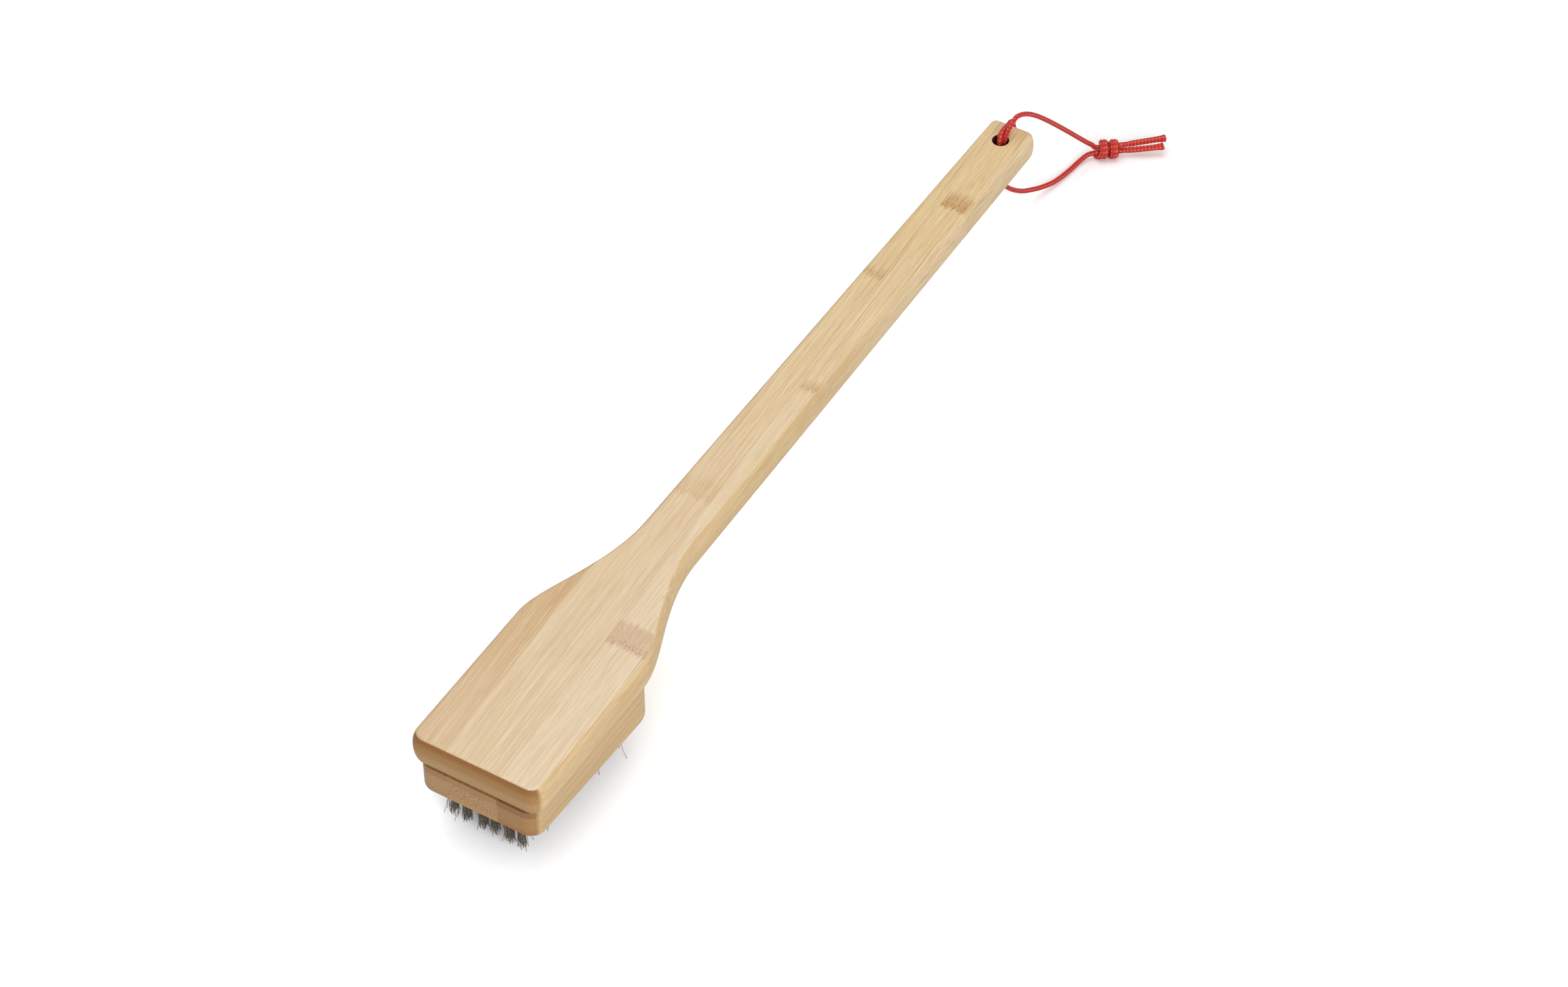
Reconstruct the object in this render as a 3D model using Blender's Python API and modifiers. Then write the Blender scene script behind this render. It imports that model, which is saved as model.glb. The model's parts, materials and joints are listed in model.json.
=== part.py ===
"""Long-handled bamboo grill brush with a wire tuft block and a knotted hanging cord.

One flat board makes the handle, the neck and the paddle head. It is edge-glued from three bamboo
strips whose joints run slightly askew. A three-ply block hangs under the head, thicker towards the
handle, and carries eleven staggered rows of wire tufts. A cord goes round the end of the handle
through the hanging hole and is tied in one overhand knot that lies on the table.

Units are metres. X runs from the head to the end of the handle, Y to the left and Z up. The origin
lies on the table under the middle of the brush.
"""
import math
import random

import bmesh
import bpy
from mathutils import Matrix, Vector

# Board
BOARD_LENGTH = 0.460
HEAD_WIDTH = 0.0646
HANDLE_WIDTH_AT_NECK = 0.0273
HANDLE_WIDTH_AT_END = 0.0229
BOARD_THICKNESS = 0.0168
NECK_START = 0.0818
NECK_END = 0.1527
NECK_LEAD = 0.84
HEAD_CORNER_RADIUS = 0.0076
HANDLE_CORNER_RADIUS = 0.0063
TOP_EDGE_RADIUS = 0.0029
UNDER_EDGE_RADIUS = 0.0060

# Joints between the bamboo strips of the board, askew to its centre line: their places at the
# front of the head, and how far the right one passes clear of the hanging hole
LEFT_JOINT_OFFSET = 0.0132
RIGHT_JOINT_OFFSET = -0.0134
RIGHT_JOINT_CLEAR_OF_HOLE = 0.00075

# Hanging hole
HOLE_DIAMETER = 0.0078
HOLE_TO_END = 0.0142

# Block under the head
BLOCK_FRONT_INSET = 0.0016
BLOCK_LENGTH = 0.0920
BLOCK_SIDE_INSET = 0.0031
BLOCK_HEIGHT_FRONT = 0.0158
BLOCK_HEIGHT_REAR = 0.0226
BLOCK_FRONT_CORNER_RADIUS = 0.007
BLOCK_REAR_CORNER_RADIUS = 0.012
BLOCK_EDGE_RADIUS = 0.0025
TOP_PLY_THICKNESS = 0.0035
MIDDLE_PLY_THICKNESS = 0.0080
PLY_JOINT_LEFT = 0.0140
PLY_JOINT_RIGHT = -0.0105

# Wire tufts
ROW_COUNT = 11
ROW_PITCH = 0.00685
FIRST_ROW_TO_HEAD_FRONT = 0.0090
TUFTS_IN_LONG_ROW = 6
TUFT_PITCH = 0.0067
STRANDS_ROUND_CENTRE = 6
TUFT_ROOT_RADIUS = 0.0016
TUFT_TIP_RADIUS = 0.0022
STRAND_RADIUS = 0.0005
BRISTLE_LENGTH = 0.0166
BRISTLE_FLAT = 0.0005
ROOT_BAR_WIDTH = 0.0050
ROOT_BAR_DEPTH = 0.0020
ROOT_BAR_MARGIN = 0.0026

# Hanging cord
CORD_DIAMETER = 0.0024
CORD_STEP = 0.0052
CORD_BEND_STEP = 24.0
TAIL_FLARE = 1.3

# Overhand knot, with the strands and tails side by side in its end faces
KNOT_LENGTH = 0.0108
KNOT_RADIUS = 0.0047
KNOT_WAIST_RADIUS = 0.0041
KNOT_END_RADIUS = 0.0027
KNOT_FLAT = 0.0004
KNOT_X = 0.2876
KNOT_Y = -0.0222
KNOT_TURN = -52.0

# Clearance between neighbouring solids
JOINT_GAP = 0.0003

# Routes of the cord's stretches in millimetres, between the ends that the knot sets
UPPER_STRAND_ROUTE = [
    (217.2, -1.9, 46.05), (217.2, -1.9, 48.3), (217.2, -1.9, 50.6), (217.2, -1.8, 54.5),
    (218.4, -2, 57.5), (220, -2.4, 60.2), (222, -2.9, 62.8), (224.9, -3.5, 63.9),
    (230.6, -4.9, 61.7), (237.6, -6.6, 56.3), (247.1, -8.9, 46.8), (261.7, -12.2, 30.8),
    (272.3, -14.4, 18.9), (278.9, -15.1, 11.4), (281.7, -15, 7.6),
]
END_TURN_ROUTE = [
    (217.2, -1.9, 45.75), (217.2, -1.9, 43.4), (217.2, -1.9, 40.9), (217.2, -1.8, 37.6),
    (219, -1.7, 35.1), (223.2, -1.3, 35.1), (227.7, -0.8, 36.4), (230.9, -0.2, 40),
    (231.7, 0.4, 43.9), (231.7, 1.1, 47.7), (231.6, 1.8, 51.7), (230.9, 2.3, 54.4),
    (228.6, 2.5, 56), (225.6, 2.4, 56.2), (222, 1.9, 56.3), (219.2, 1.4, 56.3),
    (217.1, 1, 55.1), (216.2, 0.75, 52.5), (216.2, 0.75, 49.9), (216.2, 0.75, 48),
    (216.2, 0.75, 46.05),
]
LOWER_STRAND_ROUTE = [
    (216.2, 0.75, 45.75), (216.2, 0.75, 43.4), (216.2, 0.75, 41), (216.2, 0.7, 36.7),
    (216.9, 0.4, 31), (218.6, -0.4, 26.2), (221.3, -1.4, 21.6), (226.2, -2.5, 16.3),
    (232.3, -3.9, 11.3), (238.3, -5.2, 7.8), (247.2, -7.5, 4), (256, -9.9, 1.95),
    (266.4, -11.7, 1.3), (274.4, -12.7, 1.3), (278.9, -13.8, 1.9), (281.1, -15, 2.5),
]
UPPER_TAIL_ROUTE = [
    (295.3, -30.4, 5.7), (298.4, -33.9, 5.9), (302.6, -38.5, 6.1), (306.7, -43.1, 6.3),
]
LOWER_TAIL_ROUTE = [
    (293.2, -31, 3.5), (295.6, -35, 4), (298.9, -39.8, 4.5), (302.3, -44.4, 5),
]

HALF_GAP = JOINT_GAP / 2
HEAD_FRONT_X = -BOARD_LENGTH / 2
HANDLE_END_X = BOARD_LENGTH / 2
HOLE_X = HANDLE_END_X - HOLE_TO_END
RIGHT_JOINT_AT_HOLE = HOLE_DIAMETER / 2 + RIGHT_JOINT_CLEAR_OF_HOLE
STRIP_JOINT_SLOPE = (RIGHT_JOINT_AT_HOLE - RIGHT_JOINT_OFFSET) / (HOLE_X - HEAD_FRONT_X)
BLOCK_FRONT_X = HEAD_FRONT_X + BLOCK_FRONT_INSET
BLOCK_HALF_WIDTH = HEAD_WIDTH / 2 - BLOCK_SIDE_INSET
BLOCK_SLOPE = (BLOCK_HEIGHT_REAR - BLOCK_HEIGHT_FRONT) / BLOCK_LENGTH
FIRST_ROW_X = HEAD_FRONT_X + FIRST_ROW_TO_HEAD_FRONT
LAST_ROW_X = FIRST_ROW_X + (ROW_COUNT - 1) * ROW_PITCH


def block_height_at(x):
    """Height of the block at x, which grows evenly from its front to its rear."""
    return BLOCK_HEIGHT_FRONT + BLOCK_SLOPE * (x - BLOCK_FRONT_X)


BOARD_UNDER_Z = block_height_at(LAST_ROW_X) + BRISTLE_LENGTH - BRISTLE_FLAT
BOARD_TOP_Z = BOARD_UNDER_Z + BOARD_THICKNESS
BLOCK_TOP_Z = BOARD_UNDER_Z - JOINT_GAP
CORD_RADIUS = CORD_DIAMETER / 2
KNOT_CENTRE = Vector((KNOT_X, KNOT_Y, KNOT_RADIUS - KNOT_FLAT))
KNOT_AXIS = Vector((math.cos(math.radians(KNOT_TURN)), math.sin(math.radians(KNOT_TURN)), 0))

MATERIALS = {
    "bamboo_top": ((0.74, 0.55, 0.32, 1.0), 0.55, 0.0),
    "bamboo_side": ((0.66, 0.46, 0.23, 1.0), 0.55, 0.0),
    "bamboo_ply": ((0.50, 0.32, 0.15, 1.0), 0.60, 0.0),
    "steel_wire": ((0.16, 0.145, 0.125, 1.0), 0.40, 0.9),
    "red_cord": ((0.55, 0.03, 0.03, 1.0), 0.75, 0.0),
}


def clear_scene():
    """Remove whatever the scene holds."""
    for item in list(bpy.data.objects):
        bpy.data.objects.remove(item, do_unlink=True)


def make_collection(name):
    """Make a collection in the scene."""
    group = bpy.data.collections.new(name)
    bpy.context.scene.collection.children.link(group)
    return group


def make_material(name, look):
    """Make the material of one node from a colour, a roughness and a metallic value."""
    colour, roughness, metallic = MATERIALS[look]
    material = bpy.data.materials.new(name)
    material.use_nodes = True
    shader = material.node_tree.nodes["Principled BSDF"]
    shader.inputs["Base Color"].default_value = colour
    shader.inputs["Roughness"].default_value = roughness
    shader.inputs["Metallic"].default_value = metallic
    material.diffuse_color = colour
    return material


def add_part(name, data, look, group, parent=None):
    """Link an object as a sub-part with a material of its own."""
    part = bpy.data.objects.new(name, data)
    group.objects.link(part)
    part.data.materials.clear()
    part.data.materials.append(make_material(name + "_material", look))
    part.parent = parent
    return part


def add_cutter(name, data, group, parent=None):
    """Link an object as a construction body that is drawn as wires."""
    cutter = bpy.data.objects.new(name, data)
    group.objects.link(cutter)
    cutter.hide_render = True
    cutter.display_type = "WIRE"
    cutter.parent = parent
    return cutter


def add_boolean(part, cutter, operation):
    """Add an exact Boolean modifier that uses one cutter."""
    modifier = part.modifiers.new(operation.lower() + "_" + cutter.name, "BOOLEAN")
    modifier.operation = operation
    modifier.object = cutter
    modifier.solver = "EXACT"
    return modifier


def box_mesh(name, low, high):
    """Make a box between two corners from the cube primitive."""
    low = Vector(low)
    high = Vector(high)
    size = high - low
    build = bmesh.new()
    place = Matrix.Translation((low + high) / 2) @ Matrix.Diagonal((*size, 1.0))
    bmesh.ops.create_cube(build, size=1.0, matrix=place)
    data = bpy.data.meshes.new(name)
    build.to_mesh(data)
    build.free()
    return data


def arc_points(centre, radius, start, stop, steps):
    """Points along a circular arc, with both ends, for angles in degrees."""
    points = []
    for step in range(steps + 1):
        angle = math.radians(start + (stop - start) * step / steps)
        points.append((centre[0] + radius * math.cos(angle), centre[1] + radius * math.sin(angle)))
    return points


def handle_half_width(x):
    """Half width of the handle, which narrows evenly from the neck to its end."""
    share = (x - HEAD_FRONT_X - NECK_END) / (BOARD_LENGTH - NECK_END)
    width = HANDLE_WIDTH_AT_NECK + (HANDLE_WIDTH_AT_END - HANDLE_WIDTH_AT_NECK) * share
    return width / 2


def board_outline():
    """The right half of the outline from the head to the end, then the left half back."""
    corner_x = HEAD_FRONT_X + HEAD_CORNER_RADIUS
    corner_y = HEAD_WIDTH / 2 - HEAD_CORNER_RADIUS
    right = arc_points((corner_x, -corner_y), HEAD_CORNER_RADIUS, 180, 270, 7)
    steps = 14
    neck_x = HEAD_FRONT_X + NECK_START
    neck_length = NECK_END - NECK_START
    half_width = handle_half_width(neck_x + neck_length)
    for step in range(steps + 1):
        share = step / steps
        rise = share ** NECK_LEAD
        ease = rise * rise * (3 - 2 * rise)
        y = HEAD_WIDTH / 2 + (half_width - HEAD_WIDTH / 2) * ease
        right.append((neck_x + neck_length * share, -y))
    end_x = HANDLE_END_X - HANDLE_CORNER_RADIUS
    end_y = handle_half_width(end_x) - HANDLE_CORNER_RADIUS
    right += arc_points((end_x, -end_y), HANDLE_CORNER_RADIUS, 270, 360, 7)
    left = [(x, -y) for x, y in reversed(right)]
    return right + left


def plate_from_outline(name, points, thickness):
    """Extrude a flat outline, filled on both sides, and weld it into a mesh with whole end faces."""
    curve = bpy.data.curves.new(name, "CURVE")
    curve.dimensions = "2D"
    curve.fill_mode = "BOTH"
    curve.extrude = thickness / 2
    spline = curve.splines.new("POLY")
    spline.points.add(len(points) - 1)
    for point, (x, y) in zip(spline.points, points):
        point.co = (x, y, 0.0, 1.0)
    spline.use_cyclic_u = True
    shape = bpy.data.objects.new(name, curve)
    bpy.context.scene.collection.objects.link(shape)
    graph = bpy.context.evaluated_depsgraph_get()
    data = bpy.data.meshes.new_from_object(shape.evaluated_get(graph))
    bpy.data.objects.remove(shape)
    bpy.data.curves.remove(curve)
    build = bmesh.new()
    build.from_mesh(data)
    bmesh.ops.remove_doubles(build, verts=build.verts, dist=0.00001)
    caps = [face for face in build.faces if abs(face.normal.z) > 0.99]
    inner = {edge for face in caps for edge in face.edges if all(f in caps for f in edge.link_faces)}
    bmesh.ops.dissolve_edges(build, edges=list(inner), use_verts=False)
    build.to_mesh(data)
    build.free()
    return data


def round_loop(build, level, radius, segments):
    """Round the edges that lie at one height."""
    loop = [e for e in build.edges if all(abs(v.co.z - level) < 0.000005 for v in e.verts)]
    bmesh.ops.bevel(
        build, geom=loop, offset=radius, offset_type="OFFSET", segments=segments,
        profile=0.5, affect="EDGES", clamp_overlap=False)


def board_blank():
    """The whole board as one body, with a small round above and a large one below."""
    data = plate_from_outline("board_blank", board_outline(), BOARD_THICKNESS)
    build = bmesh.new()
    build.from_mesh(data)
    round_loop(build, BOARD_THICKNESS / 2, TOP_EDGE_RADIUS, 3)
    round_loop(build, -BOARD_THICKNESS / 2, UNDER_EDGE_RADIUS, 5)
    bmesh.ops.translate(build, verts=build.verts, vec=(0, 0, BOARD_TOP_Z - BOARD_THICKNESS / 2))
    bmesh.ops.recalc_face_normals(build, faces=build.faces)
    build.to_mesh(data)
    build.free()
    return data


def strip_cutter(name, low_y, high_y, group):
    """A box between two joints of the board, turned to follow them."""
    reach = BOARD_LENGTH
    data = box_mesh(name, (-reach, low_y, 0), (reach, high_y, BOARD_TOP_Z * 2))
    cutter = add_cutter(name, data, group)
    cutter.location = (HEAD_FRONT_X, 0, 0)
    cutter.rotation_euler = (0, 0, math.atan(STRIP_JOINT_SLOPE))
    return cutter


def build_board(group, cutters):
    """The three bamboo strips of the board, and the hanging hole."""
    blank = board_blank()
    level = math.cos(math.atan(STRIP_JOINT_SLOPE))
    left = LEFT_JOINT_OFFSET * level
    right = RIGHT_JOINT_OFFSET * level
    outside = HEAD_WIDTH
    spans = {
        "board_strip_left": (left + HALF_GAP, outside),
        "board_strip_middle": (right + HALF_GAP, left - HALF_GAP),
        "board_strip_right": (-outside, right - HALF_GAP),
    }
    build = bmesh.new()
    bmesh.ops.create_cone(
        build, cap_ends=True, segments=28, radius1=HOLE_DIAMETER / 2, radius2=HOLE_DIAMETER / 2,
        depth=BOARD_THICKNESS * 2)
    hole_data = bpy.data.meshes.new("hanging_hole_cutter")
    build.to_mesh(hole_data)
    build.free()
    hole = add_cutter("hanging_hole_cutter", hole_data, cutters)
    hole.location = (HOLE_X, 0, BOARD_TOP_Z - BOARD_THICKNESS / 2)
    for name, (low_y, high_y) in spans.items():
        strip = add_part(name, blank.copy(), "bamboo_top", group)
        add_boolean(strip, strip_cutter(name + "_cutter", low_y, high_y, cutters), "INTERSECT")
        if name != "board_strip_left":
            add_boolean(strip, hole, "DIFFERENCE")


def block_blank():
    """The whole block: a box with round corners, a sloping underside and a small round below."""
    build = bmesh.new()
    low = Vector((BLOCK_FRONT_X, -BLOCK_HALF_WIDTH, BLOCK_TOP_Z - BLOCK_HEIGHT_FRONT))
    high = Vector((BLOCK_FRONT_X + BLOCK_LENGTH, BLOCK_HALF_WIDTH, BLOCK_TOP_Z))
    place = Matrix.Translation((low + high) / 2) @ Matrix.Diagonal((*(high - low), 1.0))
    bmesh.ops.create_cube(build, size=1.0, matrix=place)
    for end_x, radius in ((low.x, BLOCK_FRONT_CORNER_RADIUS), (high.x, BLOCK_REAR_CORNER_RADIUS)):
        corners = [
            e for e in build.edges
            if abs(e.verts[0].co.z - e.verts[1].co.z) > 0.001
            and all(abs(v.co.x - end_x) < 0.000005 for v in e.verts)]
        bmesh.ops.bevel(
            build, geom=corners, offset=radius, offset_type="OFFSET", segments=6, profile=0.5,
            affect="EDGES", clamp_overlap=False)
    round_loop(build, low.z, BLOCK_EDGE_RADIUS, 3)
    for vert in build.verts:
        share = min(1.0, (BLOCK_TOP_Z - vert.co.z) / (BLOCK_HEIGHT_FRONT - BLOCK_EDGE_RADIUS))
        vert.co.z -= BLOCK_SLOPE * (vert.co.x - BLOCK_FRONT_X) * share
    bmesh.ops.recalc_face_normals(build, faces=build.faces)
    data = bpy.data.meshes.new("block_blank")
    build.to_mesh(data)
    build.free()
    return data


def build_block(group, cutters, pockets):
    """The nine pieces of the block: three plies, each of three strips."""
    blank = block_blank()
    first_joint = BLOCK_TOP_Z - TOP_PLY_THICKNESS
    second_joint = first_joint - MIDDLE_PLY_THICKNESS
    layers = {
        "top": (first_joint + HALF_GAP, BLOCK_TOP_Z + BLOCK_HEIGHT_FRONT),
        "middle": (second_joint + HALF_GAP, first_joint - HALF_GAP),
        "lower": (-BLOCK_HEIGHT_REAR, second_joint - HALF_GAP),
    }
    outside = HEAD_WIDTH
    spans = {
        "left": (PLY_JOINT_LEFT + HALF_GAP, outside),
        "centre": (PLY_JOINT_RIGHT + HALF_GAP, PLY_JOINT_LEFT - HALF_GAP),
        "right": (-outside, PLY_JOINT_RIGHT - HALF_GAP),
    }
    far_x = BLOCK_FRONT_X + 2 * BLOCK_LENGTH
    near_x = BLOCK_FRONT_X - BLOCK_LENGTH
    for layer, (low_z, high_z) in layers.items():
        for side, (low_y, high_y) in spans.items():
            name = "block_" + layer + "_ply_" + side
            piece = add_part(name, blank.copy(), "bamboo_ply", group)
            data = box_mesh(name + "_cutter", (near_x, low_y, low_z), (far_x, high_y, high_z))
            add_boolean(piece, add_cutter(name + "_cutter", data, cutters), "INTERSECT")
            if layer == "lower":
                add_boolean(piece, pockets, "DIFFERENCE")


def tuft_places(row):
    """Distances of one row's tufts from the middle: long and short rows take turns."""
    count = TUFTS_IN_LONG_ROW - row % 2
    return [(index - (count - 1) / 2) * TUFT_PITCH for index in range(count)]


def row_bar_half_length(row):
    """Half length of the slice of backing that one row is set in."""
    return max(tuft_places(row)) + ROOT_BAR_MARGIN


def row_offset(row):
    """Distance of one row from the front of the block, measured along its sloping underside."""
    return (FIRST_ROW_X + row * ROW_PITCH - BLOCK_FRONT_X) / math.cos(math.atan(BLOCK_SLOPE))


def strand_mesh(name, row, world):
    """The upright strands of one row: three-sided wires that spread a little towards the tips."""
    chance = random.Random(100 + row)
    build = bmesh.new()
    root_z = ROOT_BAR_DEPTH / 2
    length = BRISTLE_LENGTH + root_z
    for place in tuft_places(row):
        turn = chance.uniform(0, math.tau)
        spots = [(0.0, 0.0)]
        for index in range(STRANDS_ROUND_CENTRE):
            angle = turn + math.tau * index / STRANDS_ROUND_CENTRE
            spots.append((math.cos(angle), math.sin(angle)))
        for across, along in spots:
            spread = TUFT_TIP_RADIUS * chance.uniform(0.85, 1.1) - TUFT_ROOT_RADIUS
            spot = Vector((across * TUFT_ROOT_RADIUS, place + along * TUFT_ROOT_RADIUS, root_z))
            root = world @ spot
            tip = root + Vector((across * spread, along * spread, -length))
            axis = tip - root
            aim = axis.to_track_quat("Z", "Y").to_matrix().to_4x4()
            middle = Matrix.Translation((root + tip) / 2)
            made = bmesh.ops.create_cone(
                build, cap_ends=True, segments=3, radius1=STRAND_RADIUS, radius2=STRAND_RADIUS,
                depth=axis.length, matrix=middle @ aim)
            for vert in made["verts"]:
                vert.co.z = max(0, vert.co.z)
    data = bpy.data.meshes.new(name)
    build.to_mesh(data)
    build.free()
    return data


def pocket_cutter(cutters, slope_frame):
    """One cutter with the pockets that the rows' slices of backing sit in."""
    build = bmesh.new()
    for row in range(ROW_COUNT):
        half_x = ROOT_BAR_WIDTH / 2 + JOINT_GAP
        half_y = row_bar_half_length(row) + JOINT_GAP
        top = ROOT_BAR_DEPTH + JOINT_GAP
        centre = Vector((row_offset(row), 0, (top - ROOT_BAR_DEPTH) / 2))
        size = (2 * half_x, 2 * half_y, top + ROOT_BAR_DEPTH, 1.0)
        bmesh.ops.create_cube(build, size=1.0, matrix=Matrix.Translation(centre) @ Matrix.Diagonal(size))
    data = bpy.data.meshes.new("pocket_cutter")
    build.to_mesh(data)
    build.free()
    return add_cutter("pocket_cutter", data, cutters, slope_frame)


def build_tufts(group, cutters, slope_frame):
    """The rows of wire tufts, each fused to its slice of backing."""
    frame = slope_matrix()
    for row in range(ROW_COUNT):
        name = "tuft_row_%02d" % (row + 1)
        half_y = row_bar_half_length(row)
        low = (-ROOT_BAR_WIDTH / 2, -half_y, 0)
        high = (ROOT_BAR_WIDTH / 2, half_y, ROOT_BAR_DEPTH)
        bar = add_part(name, box_mesh(name, low, high), "steel_wire", group, slope_frame)
        bar.location = (row_offset(row), 0, 0)
        world = frame @ Matrix.Translation((row_offset(row), 0, 0))
        strands = strand_mesh(name + "_strands", row, world)
        add_boolean(bar, add_cutter(name + "_strands", strands, cutters), "UNION")


def knot_port(face, side):
    """Centre of a cord in one end face of the knot: face and side are each +1 or -1."""
    across = Vector((-KNOT_AXIS.y, KNOT_AXIS.x, 0))
    lean = (across * 0.35 + Vector((0, 0, 0.94))).normalized()
    offset = side * (CORD_RADIUS + HALF_GAP)
    return KNOT_CENTRE + face * KNOT_AXIS * KNOT_LENGTH / 2 + offset * lean


def knot_lead(face, side):
    """Three points on the straight lead of a cord into the knot, from its end outwards."""
    port = knot_port(face, side)
    return [port + face * KNOT_AXIS * distance for distance in (JOINT_GAP, 0.0011, 0.0019)]


def route_points(route):
    """Turn a route in millimetres into vectors in metres."""
    return [Vector(point) / 1000 for point in route]


def smooth_curve(route, share=16):
    """Read many points from the smooth curve that runs through all points of a route."""
    ends = [2 * route[0] - route[1]] + route + [2 * route[-1] - route[-2]]
    points = []
    for index in range(1, len(ends) - 2):
        before, start, stop, after = ends[index - 1:index + 3]
        reach = (stop - start).length
        out = (stop - before) * reach / (reach + (start - before).length)
        into = (after - start) * reach / (reach + (after - stop).length)
        for step in range(share):
            t = step / share
            points.append(
                start * (2 * t**3 - 3 * t**2 + 1) + out * (t**3 - 2 * t**2 + t)
                + stop * (3 * t**2 - 2 * t**3) + into * (t**3 - t**2))
    return points + [route[-1]]


def thin_out(points):
    """Keep points at even steps of length and turning together, so that bends keep more of them."""
    cost = [0.0]
    for index in range(1, len(points)):
        span = points[index] - points[index - 1]
        turn = 0.0
        if index + 1 < len(points):
            turn = math.degrees(span.angle(points[index + 1] - points[index], 0.0))
        cost.append(cost[-1] + span.length / CORD_STEP + turn / CORD_BEND_STEP)
    count = math.ceil(cost[-1])
    kept = []
    index = 0
    for step in range(count + 1):
        goal = cost[-1] * step / count
        while index < len(points) - 2 and cost[index + 1] < goal:
            index += 1
        share = (goal - cost[index]) / (cost[index + 1] - cost[index])
        kept.append(points[index].lerp(points[index + 1], min(1.0, share)))
    return kept


def add_cord(name, route, group, flare=1.0):
    """One stretch of the cord as a tube, whose first and last runs keep square to what they meet."""
    points = [route[0]] + thin_out(smooth_curve(route[1:-1])) + [route[-1]]
    curve = bpy.data.curves.new(name, "CURVE")
    curve.dimensions = "3D"
    curve.bevel_depth = CORD_RADIUS
    curve.bevel_resolution = 2
    curve.use_fill_caps = True
    spline = curve.splines.new("POLY")
    spline.points.add(len(points) - 1)
    for target, point in zip(spline.points, points):
        target.co = (*point, 1.0)
    spline.points[-1].radius = flare
    spline.use_smooth = True
    return add_part(name, curve, "red_cord", group)


def build_cord(group, cutters):
    """The cord's three stretches, its knot and its two tails."""
    add_cord("cord_upper_strand", route_points(UPPER_STRAND_ROUTE) + knot_lead(-1, 1)[::-1], group)
    add_cord("cord_end_turn", route_points(END_TURN_ROUTE), group)
    add_cord("cord_lower_strand", route_points(LOWER_STRAND_ROUTE) + knot_lead(-1, -1)[::-1], group)
    add_cord("cord_tail_upper", knot_lead(1, 1) + route_points(UPPER_TAIL_ROUTE), group, TAIL_FLARE)
    add_cord("cord_tail_lower", knot_lead(1, -1) + route_points(LOWER_TAIL_ROUTE), group, TAIL_FLARE)
    build_knot(group, cutters)


def build_knot(group, cutters):
    """The knot as a turned body with two lobes, flat where it lies on the table."""
    half = KNOT_LENGTH / 2
    profile = [
        (0, half), (KNOT_END_RADIUS, half), (KNOT_RADIUS * 0.87, half * 0.86),
        (KNOT_RADIUS, half * 0.55), (KNOT_RADIUS * 0.96, half * 0.24), (KNOT_WAIST_RADIUS, 0),
    ]
    profile += [(x, -z) for x, z in reversed(profile[:-1])]
    data = bpy.data.meshes.new("cord_knot")
    data.from_pydata([(x, 0, z) for x, z in profile], [(i, i + 1) for i in range(len(profile) - 1)], [])
    knot = add_part("cord_knot", data, "red_cord", group)
    knot.location = KNOT_CENTRE
    knot.rotation_euler = (0, math.pi / 2, math.radians(KNOT_TURN))
    turned = knot.modifiers.new("turned", "SCREW")
    turned.steps = 20
    turned.render_steps = 20
    turned.use_merge_vertices = True
    turned.merge_threshold = 0.0001
    turned.use_smooth_shade = True
    reach = KNOT_LENGTH
    low = (KNOT_X - reach, KNOT_Y - reach, -reach)
    high = (KNOT_X + reach, KNOT_Y + reach, 0)
    floor = add_cutter("knot_flat_cutter", box_mesh("knot_flat_cutter", low, high), cutters)
    add_boolean(knot, floor, "DIFFERENCE")


def slope_matrix():
    """Where the sloping underside of the block starts, and how it is turned."""
    start = Vector((BLOCK_FRONT_X, 0, BLOCK_TOP_Z - BLOCK_HEIGHT_FRONT))
    return Matrix.Translation(start) @ Matrix.Rotation(math.atan(BLOCK_SLOPE), 4, "Y")


def add_slope_frame(group):
    """An empty on the sloping underside of the block, which the rows hang from."""
    frame = bpy.data.objects.new("underside_frame", None)
    group.objects.link(frame)
    frame.location = (BLOCK_FRONT_X, 0, BLOCK_TOP_Z - BLOCK_HEIGHT_FRONT)
    frame.rotation_euler = (0, math.atan(BLOCK_SLOPE), 0)
    return frame


def main():
    clear_scene()
    group = make_collection("grill_brush")
    cutters = make_collection("cutters")
    slope_frame = add_slope_frame(group)
    pockets = pocket_cutter(cutters, slope_frame)
    build_board(group, cutters)
    build_block(group, cutters, pockets)
    build_tufts(group, cutters, slope_frame)
    build_cord(group, cutters)


main()
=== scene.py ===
"""Looks of the long-handled bamboo grill brush: its bamboo strips and plies, its wire tufts and its
knotted red hanging cord, on a plain pale floor.

Lengths are in metres. X runs from the head to the end of the handle, Y to the left and Z up.
"""
import json
import math

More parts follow.
